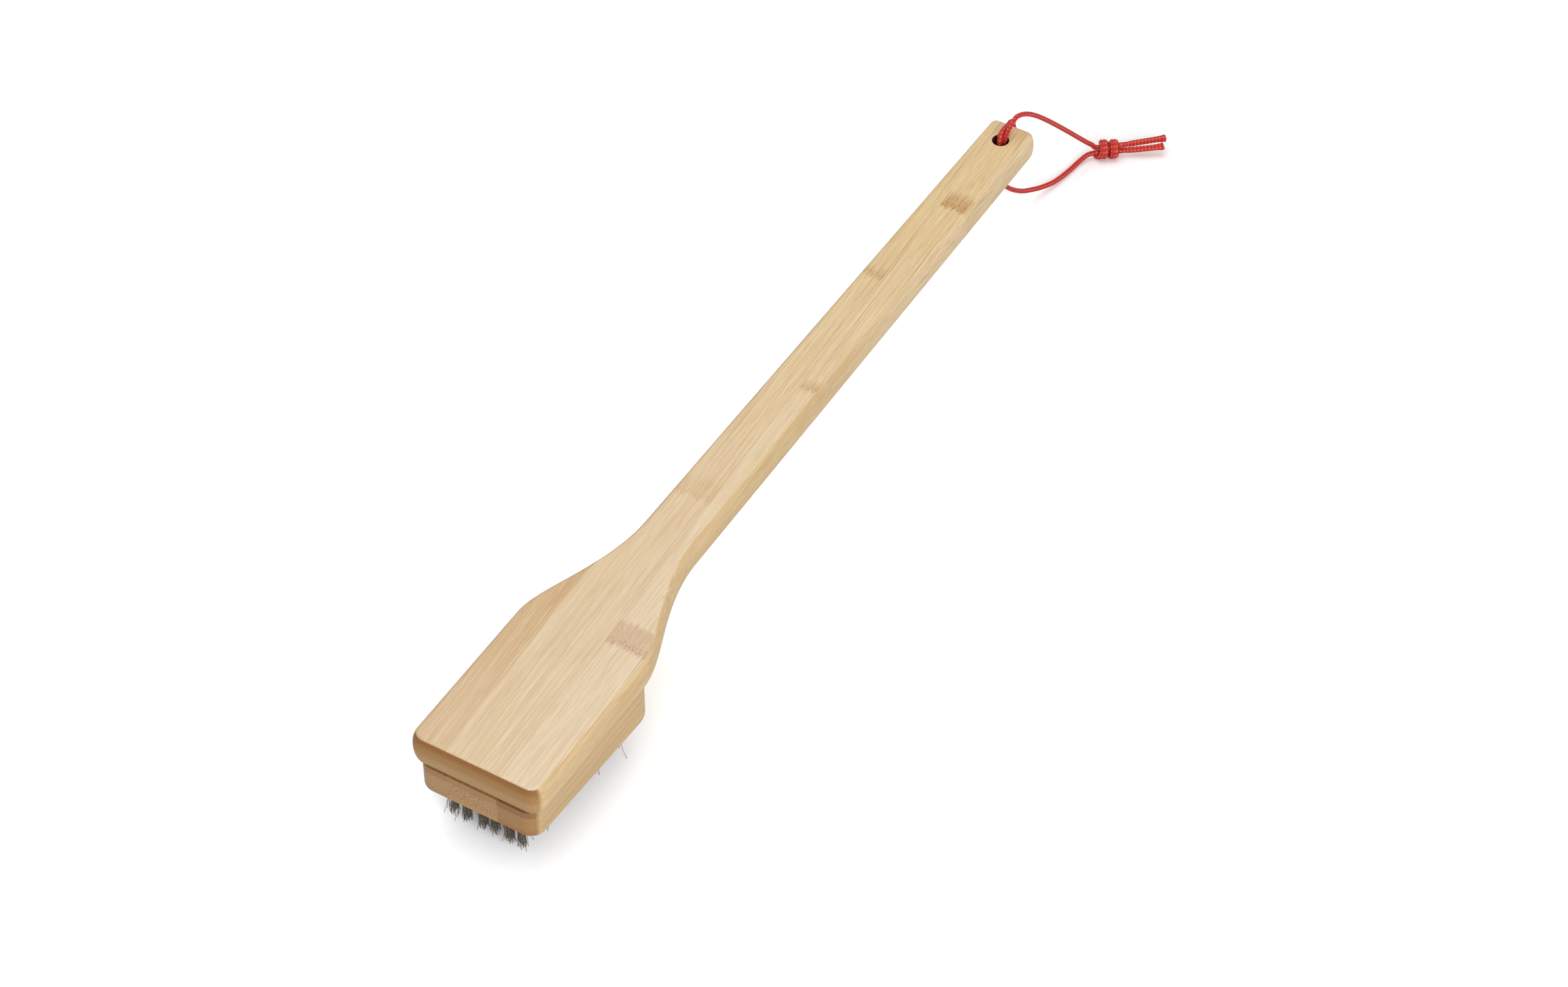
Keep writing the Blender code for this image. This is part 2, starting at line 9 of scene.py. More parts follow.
import bmesh
import bpy
import numpy as np
from mathutils import Euler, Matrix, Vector

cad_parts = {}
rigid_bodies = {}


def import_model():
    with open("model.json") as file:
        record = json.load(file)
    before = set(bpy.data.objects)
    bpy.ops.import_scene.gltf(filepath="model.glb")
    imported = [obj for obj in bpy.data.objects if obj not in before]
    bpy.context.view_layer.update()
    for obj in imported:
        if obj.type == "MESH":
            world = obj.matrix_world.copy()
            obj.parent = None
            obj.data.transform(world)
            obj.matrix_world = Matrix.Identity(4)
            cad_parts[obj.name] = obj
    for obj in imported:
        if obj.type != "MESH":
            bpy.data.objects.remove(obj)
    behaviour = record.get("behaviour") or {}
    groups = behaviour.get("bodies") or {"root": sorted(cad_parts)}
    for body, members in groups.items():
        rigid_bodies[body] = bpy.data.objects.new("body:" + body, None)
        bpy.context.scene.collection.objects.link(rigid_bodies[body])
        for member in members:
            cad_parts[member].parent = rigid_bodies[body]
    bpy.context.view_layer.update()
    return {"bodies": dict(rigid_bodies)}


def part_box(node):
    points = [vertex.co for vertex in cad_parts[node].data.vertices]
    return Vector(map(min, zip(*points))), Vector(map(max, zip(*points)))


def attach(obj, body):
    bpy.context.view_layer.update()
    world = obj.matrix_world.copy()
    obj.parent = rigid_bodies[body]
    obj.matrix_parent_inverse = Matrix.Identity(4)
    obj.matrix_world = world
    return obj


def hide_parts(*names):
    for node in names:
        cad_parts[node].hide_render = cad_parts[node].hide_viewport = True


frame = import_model()
BODY = "root" if "root" in frame["bodies"] else next(iter(frame["bodies"]))
MM = 0.001


# Sizes of the board; its edges, corners and handle are a little fuller than in the CAD solids

HEAD_FRONT_X = -0.230
HANDLE_END_X = 0.230
HEAD_HALF_WIDTH = 0.0323
NECK_START_X = HEAD_FRONT_X + 0.0818
NECK_END_X = HEAD_FRONT_X + 0.1527
NECK_LEAD = 0.35
HALF_WIDTH_AT_NECK = 0.01395
HALF_WIDTH_AT_END = 0.01190
HEAD_CORNER = 0.0070
HANDLE_CORNER = 0.0042
TOP_EDGE_IN = 0.0032
TOP_EDGE_DOWN = 0.0070
UNDER_EDGE_IN = 0.0040
UNDER_EDGE_UP = 0.0093
BOARD_TOP_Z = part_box("board_strip_middle")[1].z
BOARD_UNDER_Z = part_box("board_strip_middle")[0].z
JOINT_SLOPE = 0.0405
LEFT_JOINT = 0.0132
RIGHT_JOINT = -0.0134
HOLE_X = 0.2158
HOLE_RADIUS = 0.0039
HOLE_RIM = 0.00035

# Sizes of the block and its tufts, as the CAD solids have them

BLOCK_FRONT_X = HEAD_FRONT_X + 0.0016
BLOCK_LENGTH = 0.0920
BLOCK_HALF_WIDTH = HEAD_HALF_WIDTH - 0.0031
BLOCK_FRONT_HEIGHT = 0.0158
BLOCK_REAR_HEIGHT = 0.0226
BLOCK_FRONT_CORNER = 0.007
BLOCK_REAR_CORNER = 0.012
BLOCK_UNDER_ROUND = 0.0025
BLOCK_SLOPE = (BLOCK_REAR_HEIGHT - BLOCK_FRONT_HEIGHT) / BLOCK_LENGTH
PLY_LEVELS = (0.0, 0.0035, 0.0115)
PLY_JOINTS = (-0.0105, 0.0140)
ROW_COUNT = 11
FIRST_ROW_X = HEAD_FRONT_X + 0.0090
ROW_PITCH = 0.00685
TUFT_PITCH = 0.0067
BRISTLE_LENGTH = 0.0166


def put(name, data):
    """A new object at the origin with the given data."""
    thing = bpy.data.objects.new(name, data)
    bpy.context.scene.collection.objects.link(thing)
    return thing


# Camera

CAMERA_PLACE = (-1.11318, -0.67718, 1.36799)
CAMERA_TURN = (43.7801, 0.0175, -59.1113)
LENS = 96.87


def place_camera():
    """The camera that looks down on the brush from its right front side."""
    data = bpy.data.cameras.new("camera")
    data.lens = LENS
    camera = put("camera", data)
    camera.location = CAMERA_PLACE
    camera.rotation_euler = Euler([math.radians(turn) for turn in CAMERA_TURN])
    bpy.context.scene.camera = camera


place_camera()


# Meshes from arrays

SHARP_ANGLE = math.radians(25)


def eased(share):
    """A smooth rise from 0 to 1, held at both ends."""
    share = np.clip(share, 0, 1)
    return share * share * (3 - 2 * share)


def mend(mesh, merge=0.0, shortest=0.0):
    """Merge points that fall together, drop faces without area, and turn all faces outwards."""
    work = bmesh.new()
    work.from_mesh(mesh)
    if merge:
        bmesh.ops.remove_doubles(work, verts=work.verts, dist=merge)
    if shortest:
        bmesh.ops.dissolve_degenerate(work, edges=work.edges, dist=shortest)
    bmesh.ops.recalc_face_normals(work, faces=work.faces)
    work.to_mesh(mesh)
    work.free()
    mesh.shade_smooth()


def piece_from(name, points, faces, merge=0.0, shortest=0.0):
    """A closed mesh from points and faces, as an object at the origin."""
    mesh = bpy.data.meshes.new(name)
    mesh.from_pydata(points.tolist(), [], faces if isinstance(faces, list) else faces.tolist())
    mesh.validate()
    mend(mesh, merge, shortest)
    return put(name, mesh)


def cells(index):
    """The quads of a grid of point numbers."""
    corners = [index[:-1, :-1], index[1:, :-1], index[1:, 1:], index[:-1, 1:]]
    return np.stack([c.ravel() for c in corners], axis=1)


def rods(centre, ring):
    """Points, side quads and end faces of thin rods: a ring round each centre, by rod and place."""
    points = centre[:, :, None] + ring
    number = np.arange(points[..., 0].size).reshape(points.shape[:3])
    closed = np.concatenate([number, number[:, :, :1]], axis=2)
    corners = [closed[:, :-1, :-1], closed[:, 1:, :-1], closed[:, 1:, 1:], closed[:, :-1, 1:]]
    sides = np.stack([c.ravel() for c in corners], axis=1)
    return points.reshape(-1, 3), sides, np.concatenate([number[:, 0, ::-1], number[:, -1]])


def cut_away(piece, cutter):
    """Take a cutter's volume out of a piece for good."""
    cut = piece.modifiers.new("cut", "BOOLEAN")
    cut.operation = "DIFFERENCE"
    cut.solver = "EXACT"
    cut.object = cutter
    graph = bpy.context.evaluated_depsgraph_get()
    graph.update()
    made = bpy.data.meshes.new_from_object(piece.evaluated_get(graph))
    piece.modifiers.remove(cut)
    piece.data = made
    made.shade_smooth()


def skin_of(name, solid, cutter=None):
    """The closed skin of a grid of points by length, height and width, less the volume of a cutter."""
    along, up, across = solid.shape[:3]
    number = np.arange(along * up * across).reshape(along, up, across)
    faces = np.concatenate([
        cells(number[:, :, 0]), cells(number[:, :, -1])[:, ::-1],
        cells(number[:, 0, :])[:, ::-1], cells(number[:, -1, :]),
        cells(number[0]), cells(number[-1])[:, ::-1],
    ])
    used, faces = np.unique(faces, return_inverse=True)
    piece = piece_from(name, solid.reshape(-1, 3)[used], faces.reshape(-1, 4), 2e-6, 1e-6)
    if cutter:
        cut_away(piece, cutter)
    piece.data.set_sharp_from_angle(angle=SHARP_ANGLE)
    piece.modifiers.new("even_shading", "WEIGHTED_NORMAL").keep_sharp = True
    return piece


def slab(name, x, half, z, joints, steps, cutter):
    """A piece of wood between two limits across, each a joint or, without one, the outline."""
    low, high = joints
    low = -half if low is None else np.maximum(-half, low)
    high = half if high is None else np.minimum(half, high)
    low = np.minimum(low, high)
    y = low[:, :, None] + (high - low)[:, :, None] * np.linspace(0, 1, steps)
    solid = np.stack(np.broadcast_arrays(x[:, :, None], y, z[:, :, None]), axis=-1)
    return skin_of(name, solid, cutter)


def slant(half_width, x):
    """How much longer the outline is than its stretch of x."""
    slope = (half_width(x + 1e-5) - half_width(x - 1e-5)) / 2e-5
    return np.sqrt(1 + slope**2)


def outline(half_width, inset, front, rear, corners, steps):
    """Places along an outline, drawn in by an inset: x and half width.

    An arc round the front corner, the side by its half width, and an arc at the rear, if it has one.
    """
    first_round, last_round = corners
    arc = np.linspace(0, math.pi / 2, steps[0])[:, None]
    back = math.pi / 2 - arc[1:] if last_round else arc[:0]
    last = rear - last_round
    x = np.linspace(front + first_round, last, steps[1])[1:, None]
    inset = np.broadcast_to(inset, (len(arc) + len(x) + len(back), inset.shape[1]))
    first, side, second = np.split(inset, [len(arc), len(arc) + len(x)])
    across = np.concatenate([
        half_width(np.array(front)) - first_round + (first_round - first) * np.sin(arc),
        half_width(x) - side * slant(half_width, x),
        half_width(np.array(last)) - last_round + (last_round - second) * np.sin(back)])
    along = np.concatenate([
        front + first_round - (first_round - first) * np.cos(arc),
        np.broadcast_to(x, side.shape),
        last + (last_round - second) * np.cos(back)])
    return along, across


def stand_in(piece, slot, *nodes):
    """Let a piece show in place of CAD nodes, carried by the body. Its slot is not used."""
    if nodes:
        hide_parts(*nodes)
    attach(piece, BODY)


# Cord paths

def smooth_path(points, share=24):
    """Many points of a curve of cubics through all the given ones."""
    points = np.asarray(points, float)
    ends = np.concatenate([[2 * points[0] - points[1]], points, [2 * points[-1] - points[-2]]])
    before, start, stop, after = ends[:-3], ends[1:-2], ends[2:-1], ends[3:]
    reach = np.linalg.norm(stop - start, axis=1)[:, None]
    out = (stop - before) * reach / (reach + np.linalg.norm(start - before, axis=1)[:, None])
    into = (after - start) * reach / (reach + np.linalg.norm(after - stop, axis=1)[:, None])
    t = (np.arange(share) / share)[None, :, None]
    curve = (
        start[:, None] * (2 * t**3 - 3 * t**2 + 1) + out[:, None] * (t**3 - 2 * t**2 + t)
        + stop[:, None] * (3 * t**2 - 2 * t**3) + into[:, None] * (t**3 - t**2))
    return np.concatenate([curve.reshape(-1, 3), points[-1:]])


def evenly(path, step):
    """The same path with points at one even step, and the length run to each."""
    run = np.concatenate([[0], np.cumsum(np.linalg.norm(np.diff(path, axis=0), axis=1))])
    at = np.linspace(0, run[-1], max(3, int(round(run[-1] / step)) + 1))
    return np.stack([np.interp(at, run, path[:, axis]) for axis in range(3)], axis=1), at


def carried_sides(path):
    """Two side directions at each point of a path, carried along it without twist."""
    ahead = np.gradient(path, axis=0)
    ahead /= np.linalg.norm(ahead, axis=1)[:, None]
    side = np.cross(ahead[0], [0.21, 0.33, 0.92])
    sides = [side / np.linalg.norm(side)]
    for direction in ahead[1:]:
        side = sides[-1] - direction * (sides[-1] @ direction)
        sides.append(side / np.linalg.norm(side))
    sides = np.array(sides)
    return sides, np.cross(ahead, sides)


BRAID_PERIOD = 0.00175
BRAID_STRANDS = 5
ROUND_STEPS = 28


def braid_height(turn, run):
    """Height of a woven sleeve, from 0 to 1, at a turn round the cord and a length run along it.

    Two families of strands with rounded backs climb in opposite directions, over and under in turn.
    """
    one, two = [
        np.sin(math.pi * (BRAID_STRANDS * turn + way * run / BRAID_PERIOD)) for way in (1, -1)]
    over = 0.38 * one * two
    return np.maximum(np.sqrt(np.abs(one)) * (0.62 + over), np.sqrt(np.abs(two)) * (0.62 - over))


def braided_tube(path, run, radius, first_run):
    """Points, side quads, end triangles and surface coordinates of a braided tube along an even path.

    Its radius swells with the height of the braid, from 0.92 to 1.04 of itself.
    """
    one, two = carried_sides(path)
    turn = np.arange(ROUND_STEPS) / ROUND_STEPS
    woven = braid_height(turn[None, :], first_run + run[:, None])
    reach = np.broadcast_to(radius, run.shape)[:, None] * (0.92 + 0.12 * woven)
    angle = 2 * math.pi * turn[None, :, None]
    ring = one[:, None] * np.cos(angle) + two[:, None] * np.sin(angle)
    points = (path[:, None] + reach[:, :, None] * ring).reshape(-1, 3)
    number = np.arange(len(points)).reshape(len(path), ROUND_STEPS)
    number = np.concatenate([number, number[:, :1]], axis=1)
    tip = np.full(ROUND_STEPS, len(points))
    ends = np.concatenate([
        np.stack([number[0, 1:], number[0, :-1], tip], axis=1),
        np.stack([number[-1, :-1], number[-1, 1:], tip + 1], axis=1)])
    along, around = np.meshgrid(
        (first_run + run) / BRAID_PERIOD, np.arange(ROUND_STEPS + 1) / ROUND_STEPS, indexing="ij")
    surface = np.stack([around, along], axis=-1).reshape(-1, 2)
    surface = surface[cells(np.arange(len(surface)).reshape(along.shape))]
    return np.concatenate([points, path[[0, -1]]]), cells(number), ends, surface.reshape(-1, 2)


def braided_piece(name, strands):
    """One mesh of one or more braided tubes, with its surface coordinates in a UV map."""
    tubes = [braided_tube(*strand) for strand in strands]
    starts = np.cumsum([0] + [len(tube[0]) for tube in tubes[:-1]])
    points = np.concatenate([tube[0] for tube in tubes])
    sides = np.concatenate([tube[1] + start for tube, start in zip(tubes, starts)])
    ends = np.concatenate([tube[2] + start for tube, start in zip(tubes, starts)])
    mesh = bpy.data.meshes.new(name)
    mesh.from_pydata(points.tolist(), [], sides.tolist() + ends.tolist())
    layer = mesh.uv_layers.new(name="along")
    surface = np.zeros((len(mesh.loops), 2), np.float32)
    surface[:sides.size] = np.concatenate([tube[3] for tube in tubes])
    layer.data.foreach_set("uv", surface.ravel())
    mend(mesh)
    return put(name, mesh)


# Routes of the hanging cord, in millimetres

UPPER_STRAND = [
    (217.2, -1.9, 45.9), (217.25, -1.55, 48.5), (217.4, -1.2, 51.4), (217.8, -1.25, 54.2),
    (218.5, -1.6, 56.6), (219.4, -2, 58.8), (220.7, -2.5, 60.9), (222.4, -3, 62.7), (224.9, -3.5, 63.8),
    (230.6, -4.9, 61.7), (237.6, -6.6, 56.3), (247.1, -8.9, 46.8), (261.7, -12.2, 30.8),
    (272.3, -14.4, 18.9), (278.7, -15.2, 11.9), (282.2, -16, 8.2),
]
END_TURN = [
    (217.2, -1.9, 45.9), (217.2, -1.9, 43.4), (217.2, -1.9, 40.9), (217.2, -1.8, 37.6),
    (219, -1.7, 35.1), (223.2, -1.3, 35.1), (227.7, -0.8, 36.4), (230.9, -0.2, 40),
    (231.7, 0.5, 43.9), (231.7, 1.1, 47.7), (231.4, 1.6, 51.4), (230.2, 1.75, 54.2),
    (228.3, 1.55, 55.6), (226.1, 1.3, 56.1), (223.9, 1.05, 56.5), (221.6, 0.85, 57),
    (219.4, 0.75, 57.4), (217.3, 0.6, 57.1), (215.8, 0.3, 55.6), (215, 0.1, 53.4),
    (214.9, 0.1, 51.2), (215.4, 0.4, 48.6), (216.2, 0.75, 45.9),
]
LOWER_STRAND = [
    (216.2, 0.75, 45.9), (216.2, 0.75, 43.4), (216.2, 0.75, 41), (216.2, 0.7, 36.7),
    (216.9, 0.4, 31), (218.6, -0.4, 26.2), (221.3, -1.4, 21.6), (226.2, -2.5, 16.3),
    (232.3, -3.9, 11.3), (238.3, -5.2, 7.8), (247.2, -7.5, 4), (256, -9.9, 1.95),
    (266.4, -11.7, 1.3), (274.4, -12.7, 1.3), (278.9, -13.8, 1.9), (281.1, -15, 2.5),
]
UPPER_TAIL = [(295.3, -30.4, 5.7), (298.4, -33.9, 5.9), (302.6, -38.5, 6.1), (306.7, -43.1, 6.3)]
LOWER_TAIL = [(293.2, -31, 3.5), (295.6, -35, 4), (298.9, -39.8, 4.5), (302.3, -44.4, 5)]

# The knot, in metres and radians, and then in millimetres and turns

CORD_DIAMETER = 0.0024
BRAID_RADIUS = 0.00118
KNOT_CENTRE = np.array([0.2876, -0.0222, 0.0043])
KNOT_TURN = math.radians(-52.0)
KNOT_ALONG = np.array([math.cos(KNOT_TURN), math.sin(KNOT_TURN), 0.0])
KNOT_ACROSS = np.array([-KNOT_ALONG[1], KNOT_ALONG[0], 0.0])
KNOT_UP = np.array([0.0, 0.0, 1.0])
KNOT_LEAN = (0.35 * KNOT_ACROSS + 0.94 * KNOT_UP) / math.hypot(0.35, 0.94)
WINDING_FACES = math.radians(133.6)
PORT_ALONG = 5.4
PORT_APART = 1.35
KNOT_PITCH = 5.1
WINDING_RADIUS = 3.45
PAIR_HALF = 0.72
WINDING_STARTS = -0.30
WINDING_SLIPS = 1.02
WINDING_ENDS = 1.36
PATH_STEP = 0.00016


def in_knot(along, across, up):
    """A point of the knot from its distances along, across and up, in millimetres."""
    return KNOT_CENTRE + MM * (along * KNOT_ALONG + across * KNOT_ACROSS + up * KNOT_UP)


def knot_port(face, side, out=0.0):
    """Where a strand passes through one end face of the knot."""
    return KNOT_CENTRE + MM * (face * (PORT_ALONG + out) * KNOT_ALONG + side * PORT_APART * KNOT_LEAN)


def knot_strand(side):
    """One of the two strands of the overhand knot, from its loop side to the end of its tail.

    It runs in beside its fellow, winds round the core back towards the loop, in turns that step
    along on the far side, slips down as a collar, dives under the turns and leaves as a tail. It is
    fuller in the knot and the tails, opens at its cut end and stays above the floor.
    """
    turns = np.linspace(WINDING_STARTS, WINDING_ENDS, 36)
    nearest = np.round(turns)
    off = turns - nearest
    stepped = nearest + 0.5 * np.sign(off) * eased((np.abs(off) - 0.20) / 0.30)
    slip = (0.8 - 0.5 * side) * eased((turns - WINDING_SLIPS) / 0.30)
    along = KNOT_PITCH / 2 - KNOT_PITCH * (0.14 * turns + 0.86 * stepped) + PAIR_HALF * side - slip
    angle = WINDING_FACES + 2 * math.pi * turns
    reach = WINDING_RADIUS - 0.5 * np.abs(np.linspace(-1, 1, 36)) ** 6
    winding = [in_knot(x, r * math.cos(t), r * math.sin(t)) for x, r, t in zip(along, reach, angle)]
    core = [in_knot(-1.5, 1.0, 1.2 * side), in_knot(2.0, 0.4, 1.1 * side)]
    back = [in_knot(-1.8, -0.9, 0.9 * side), in_knot(2.2, -0.6, 1.2 * side)]
    enter = [knot_port(-1, side, 0.6), knot_port(-1, side, -0.9)]
    leave = [knot_port(1, side, -0.8), knot_port(1, side, 0.6)]
    tail = [MM * np.array(place) for place in (UPPER_TAIL if side > 0 else LOWER_TAIL)]
    path, run = evenly(smooth_path(enter + core + winding + back + leave + tail, 12), PATH_STEP)
    left = run[-1] - run
    in_winding = np.clip((run - 0.004) / 0.004, 0, 1) * np.clip((left - 0.018) / 0.004, 0, 1)
    in_tail = np.clip((0.020 - left) / 0.004, 0, 1)
    at_end = np.clip(1 - left / 0.0055, 0, 1)
    radius = BRAID_RADIUS + 0.00027 * np.maximum(in_winding, in_tail) + 0.00045 * at_end**2
    path[:, 2] = np.maximum(path[:, 2], 1.04 * radius)
    return path, run, radius, 0.0004 * side


def frayed_ends(paths):
    """Short loose fibres round the cut end of each tail; the outer ones lean out more."""
    chance = np.random.default_rng(7)
    count = 90
    points, faces = [], []
    for path in paths:
        one, two = carried_sides(path)
        ahead = path[-1] - path[-6]
        ahead /= np.linalg.norm(ahead)
        angle = chance.uniform(0, 2 * math.pi, count)
        spread = (np.sqrt(chance.uniform(0, 1, count)) * 0.00140)[:, None, None]
        out = np.cos(angle)[:, None] * one[-1] + np.sin(angle)[:, None] * two[-1]
        length = chance.uniform(0.0006, 0.0013, (count, 1, 1))
        share = np.linspace(0, 1, 4)[:, None]
        outwards = spread * (1 + 0.28 * share**1.5) * out[:, None]
        centre = path[-1] + (share * length - 0.0004) * ahead + outwards
        third = 2 * math.pi * np.arange(3) / 3
        ring = np.cos(third)[:, None] * one[-1] + np.sin(third)[:, None] * two[-1]
        fibres, sides, ends = rods(centre, 0.00007 * (1 - 0.5 * share[:, None]) * ring)
        start = sum(len(earlier) for earlier in points)
        faces += (sides + start).tolist() + (ends + start).tolist()
        points.append(fibres)
    return piece_from("tail_fray", np.concatenate(points), faces)


def make_cord():
    """The three free stretches, then the knot with its two tails and their frayed ends."""
    # Each stretch: route, side of the knot that it enters, start of its braid, far end and lay
    stretches = {
        "cord_upper_strand": (UPPER_STRAND, 1, 0.0, "knot", "loose"),
        "cord_end_turn": (END_TURN, 0, 0.0007, "object", "taut"),
        "cord_lower_strand": (LOWER_STRAND, -1, 0.0011, "object", "loose"),
    }
    made, laid = [], []
    for node, (route, side, first_run, far_end, lay) in stretches.items():
        ports = [knot_port(-1, side, 1.0), knot_port(-1, side, -0.6)] if side else []
        path, run = evenly(smooth_path([MM * np.array(place) for place in route] + ports), PATH_STEP)
        piece = braided_piece(node + "_braid", [(path, run, CORD_DIAMETER / 2, first_run)])
        stand_in(piece, "red_cord", node)
        made.append(piece)
        laid.append((path, run, far_end, lay))
    strands = [knot_strand(1), knot_strand(-1)]
    knot = braided_piece("overhand_knot", strands)
    fray = frayed_ends([strand[0] for strand in strands])
    stand_in(knot, "red_cord", "cord_knot", "cord_tail_upper", "cord_tail_lower")
    stand_in(fray, "red_cord")
    return made + [knot, fray]


cord_pieces = make_cord()


# Board

UNDER_LEVELS = 13
TOP_LEVELS = 12


def board_half_width(x):
    """Half width of the board: the head's, a smooth step that draws in early, then the handle's."""
    share = np.clip((x - NECK_START_X) / (NECK_END_X - NECK_START_X), 0, 1)
    share = share + NECK_LEAD * share * (1 - share) ** 1.5
    neck = HEAD_HALF_WIDTH + (HALF_WIDTH_AT_NECK - HEAD_HALF_WIDTH) * eased(share)
    far = (x - NECK_END_X) / (HANDLE_END_X - NECK_END_X)
    handle = HALF_WIDTH_AT_NECK + (HALF_WIDTH_AT_END - HALF_WIDTH_AT_NECK) * far
    return np.where(x > NECK_END_X, handle, neck)


def board_level(inset, tip_x=None):
    """The board's outline, drawn in by an inset, out to the handle's end or to a strip's tip."""
    rear = HANDLE_END_X if tip_x is None else tip_x
    corners = (HEAD_CORNER, HANDLE_CORNER if tip_x is None else 0.0)
    return outline(board_half_width, inset, HEAD_FRONT_X, rear, corners, (15, 150))


def joint_line(offset, x):
    """Where a joint between two strips lies across the board, at x."""
    return offset + JOINT_SLOPE * (x - HEAD_FRONT_X)


def board_strip(name, low_joint, high_joint, cutter=None):
    """One bamboo strip of the board, between two joints or out to the board's own edge.

    Levels run from the under face to the top face along two quarters of an ellipse. The left strip
    runs out in the neck, where its joint meets the outline, and towards that tip its edges are no
    deeper than it is wide.
    """
    bend = np.concatenate([
        np.linspace(0, math.pi / 2, UNDER_LEVELS), np.linspace(math.pi / 2, 0, TOP_LEVELS)])[None, :]
    is_under = np.arange(UNDER_LEVELS + TOP_LEVELS)[None, :] < UNDER_LEVELS
    depth = np.where(is_under, UNDER_EDGE_IN, TOP_EDGE_IN)
    if low_joint == LEFT_JOINT:
        neck = np.linspace(NECK_START_X, NECK_END_X, 4001)
        tip_x = neck[np.argmax(board_half_width(neck) < joint_line(low_joint, neck))]
        x, half = board_level(depth * (1 - np.sin(bend)), tip_x)
        spare = np.maximum(0, board_half_width(x) - joint_line(low_joint, x)) / slant(board_half_width, x)
        least = np.arcsin(np.clip(1 - spare / depth, 0, 1))
        in_corner = x < HEAD_FRONT_X + HEAD_CORNER + 1e-6
        bend = np.where(in_corner, bend, np.maximum(bend, least))
        x, half = board_level(depth * (1 - np.sin(bend)), tip_x)
    else:
        x, half = board_level(depth * (1 - np.sin(bend)))
    turned = 1 - np.cos(np.broadcast_to(bend, x.shape))
    z = np.where(
        is_under, BOARD_UNDER_Z + UNDER_EDGE_UP * turned, BOARD_TOP_Z - TOP_EDGE_DOWN * turned)
    joints = [None if joint is None else joint_line(joint, x) for joint in (low_joint, high_joint)]
    return slab(name, x, half, z, joints, 7, cutter)


def turned_cutter(name, profile, centres, steps=48):
    """Closed turned bodies: a profile of radius and height, carried once round each upright axis."""
    radius, height = np.array(profile).T[:, :, None]
    angle = 2 * math.pi * np.arange(steps) / steps
    ring = np.stack([radius * np.cos(angle), radius * np.sin(angle), height + 0 * angle], axis=-1)
    points = np.array(centres)[:, None, None] + ring
    number = np.arange(points[..., 0].size).reshape(points.shape[:3])
    closed = np.concatenate([number, number[:, :, :1]], axis=2)
    return piece_from(name, points.reshape(-1, 3), np.concatenate([cells(body) for body in closed]), 1e-7)


def hole_cutter():
    """The hanging hole, with its rims eased by a third of a millimetre."""
    rim = [(HOLE_RADIUS + HOLE_RIM * (1 - math.cos(t)), BOARD_TOP_Z - HOLE_RIM * (1 - math.sin(t)))
           for t in np.linspace(0, math.pi / 2, 5)]
    lower_rim = [(radius, BOARD_UNDER_Z + BOARD_TOP_Z - z) for radius, z in rim[::-1]]
    wide = HOLE_RADIUS + HOLE_RIM
    below = BOARD_UNDER_Z - 0.002
    above = BOARD_TOP_Z + 0.002
    profile = [(0, below), (wide, below)] + lower_rim + rim + [(wide, above), (0, above)]
    return turned_cutter("hanging_hole", profile, [(HOLE_X, 0, 0)])


def make_board():
    """The three strips of the board, flush at their glue joints, and the hanging hole."""
    hole = hole_cutter()
    strips = {
        "board_strip_left": board_strip("left_strip", LEFT_JOINT, None),
        "board_strip_middle": board_strip("middle_strip", RIGHT_JOINT, LEFT_JOINT),
        "board_strip_right": board_strip("right_strip", None, RIGHT_JOINT, hole),
    }
    bpy.data.objects.remove(hole)
    for node, piece in strips.items():
        stand_in(piece, "bamboo_board", node)
    return strips


board = make_board()


# Block

def block_level(inset):
    """The block's outline, drawn in by an inset: small arcs at its front and larger ones at its rear."""
    def half_width(x):
        return np.full(x.shape, BLOCK_HALF_WIDTH)

    corners = (BLOCK_FRONT_CORNER, BLOCK_REAR_CORNER)
    return outline(half_width, inset, BLOCK_FRONT_X, BLOCK_FRONT_X + BLOCK_LENGTH, corners, (13, 20))


def underside_z(x):
    """Height of the block's sloping under face."""
    return BOARD_UNDER_Z - BLOCK_FRONT_HEIGHT - BLOCK_SLOPE * (x - BLOCK_FRONT_X)


def block_piece(name, layer, joints, holes):
    """One bamboo piece of the block. The lowest ply's under face slopes, and its edge is rounded."""
    top = BOARD_UNDER_Z - PLY_LEVELS[layer]
    if layer < 2:
        x, half = block_level(np.zeros((1, 2)))
        z = np.broadcast_to([BOARD_UNDER_Z - PLY_LEVELS[layer + 1], top], x.shape)
    else:
        bend = np.linspace(0, math.pi / 2, 8)[None, :]
        inset = np.concatenate([BLOCK_UNDER_ROUND * (1 - np.sin(bend)), [[0.0]]], axis=1)
        x, half = block_level(inset)
        z = underside_z(x) + np.append(BLOCK_UNDER_ROUND * (1 - np.cos(bend)), 0)
        z[:, -1] = top
    return slab(name, x, half, z, joints, 5, holes if layer == 2 else None)


def tuft_places(row):
    """Where the tufts of one row leave the block: six, or five between them in every second row."""
    count = 6 - row % 2
    x = FIRST_ROW_X + row * ROW_PITCH
    return np.array([(x, (tuft - (count - 1) / 2) * TUFT_PITCH, underside_z(x)) for tuft in range(count)])


def drilled_holes():
    """The blind holes that the tufts stand in, as one body of short turned plugs."""
    profile = [(0, -0.001), (0.00195, -0.001), (0.00180, 0.0001), (0.00180, 0.0030), (0, 0.0035)]
    centres = np.concatenate([tuft_places(row) for row in range(ROW_COUNT)])
    return turned_cutter("tuft_holes", profile, centres, 16)


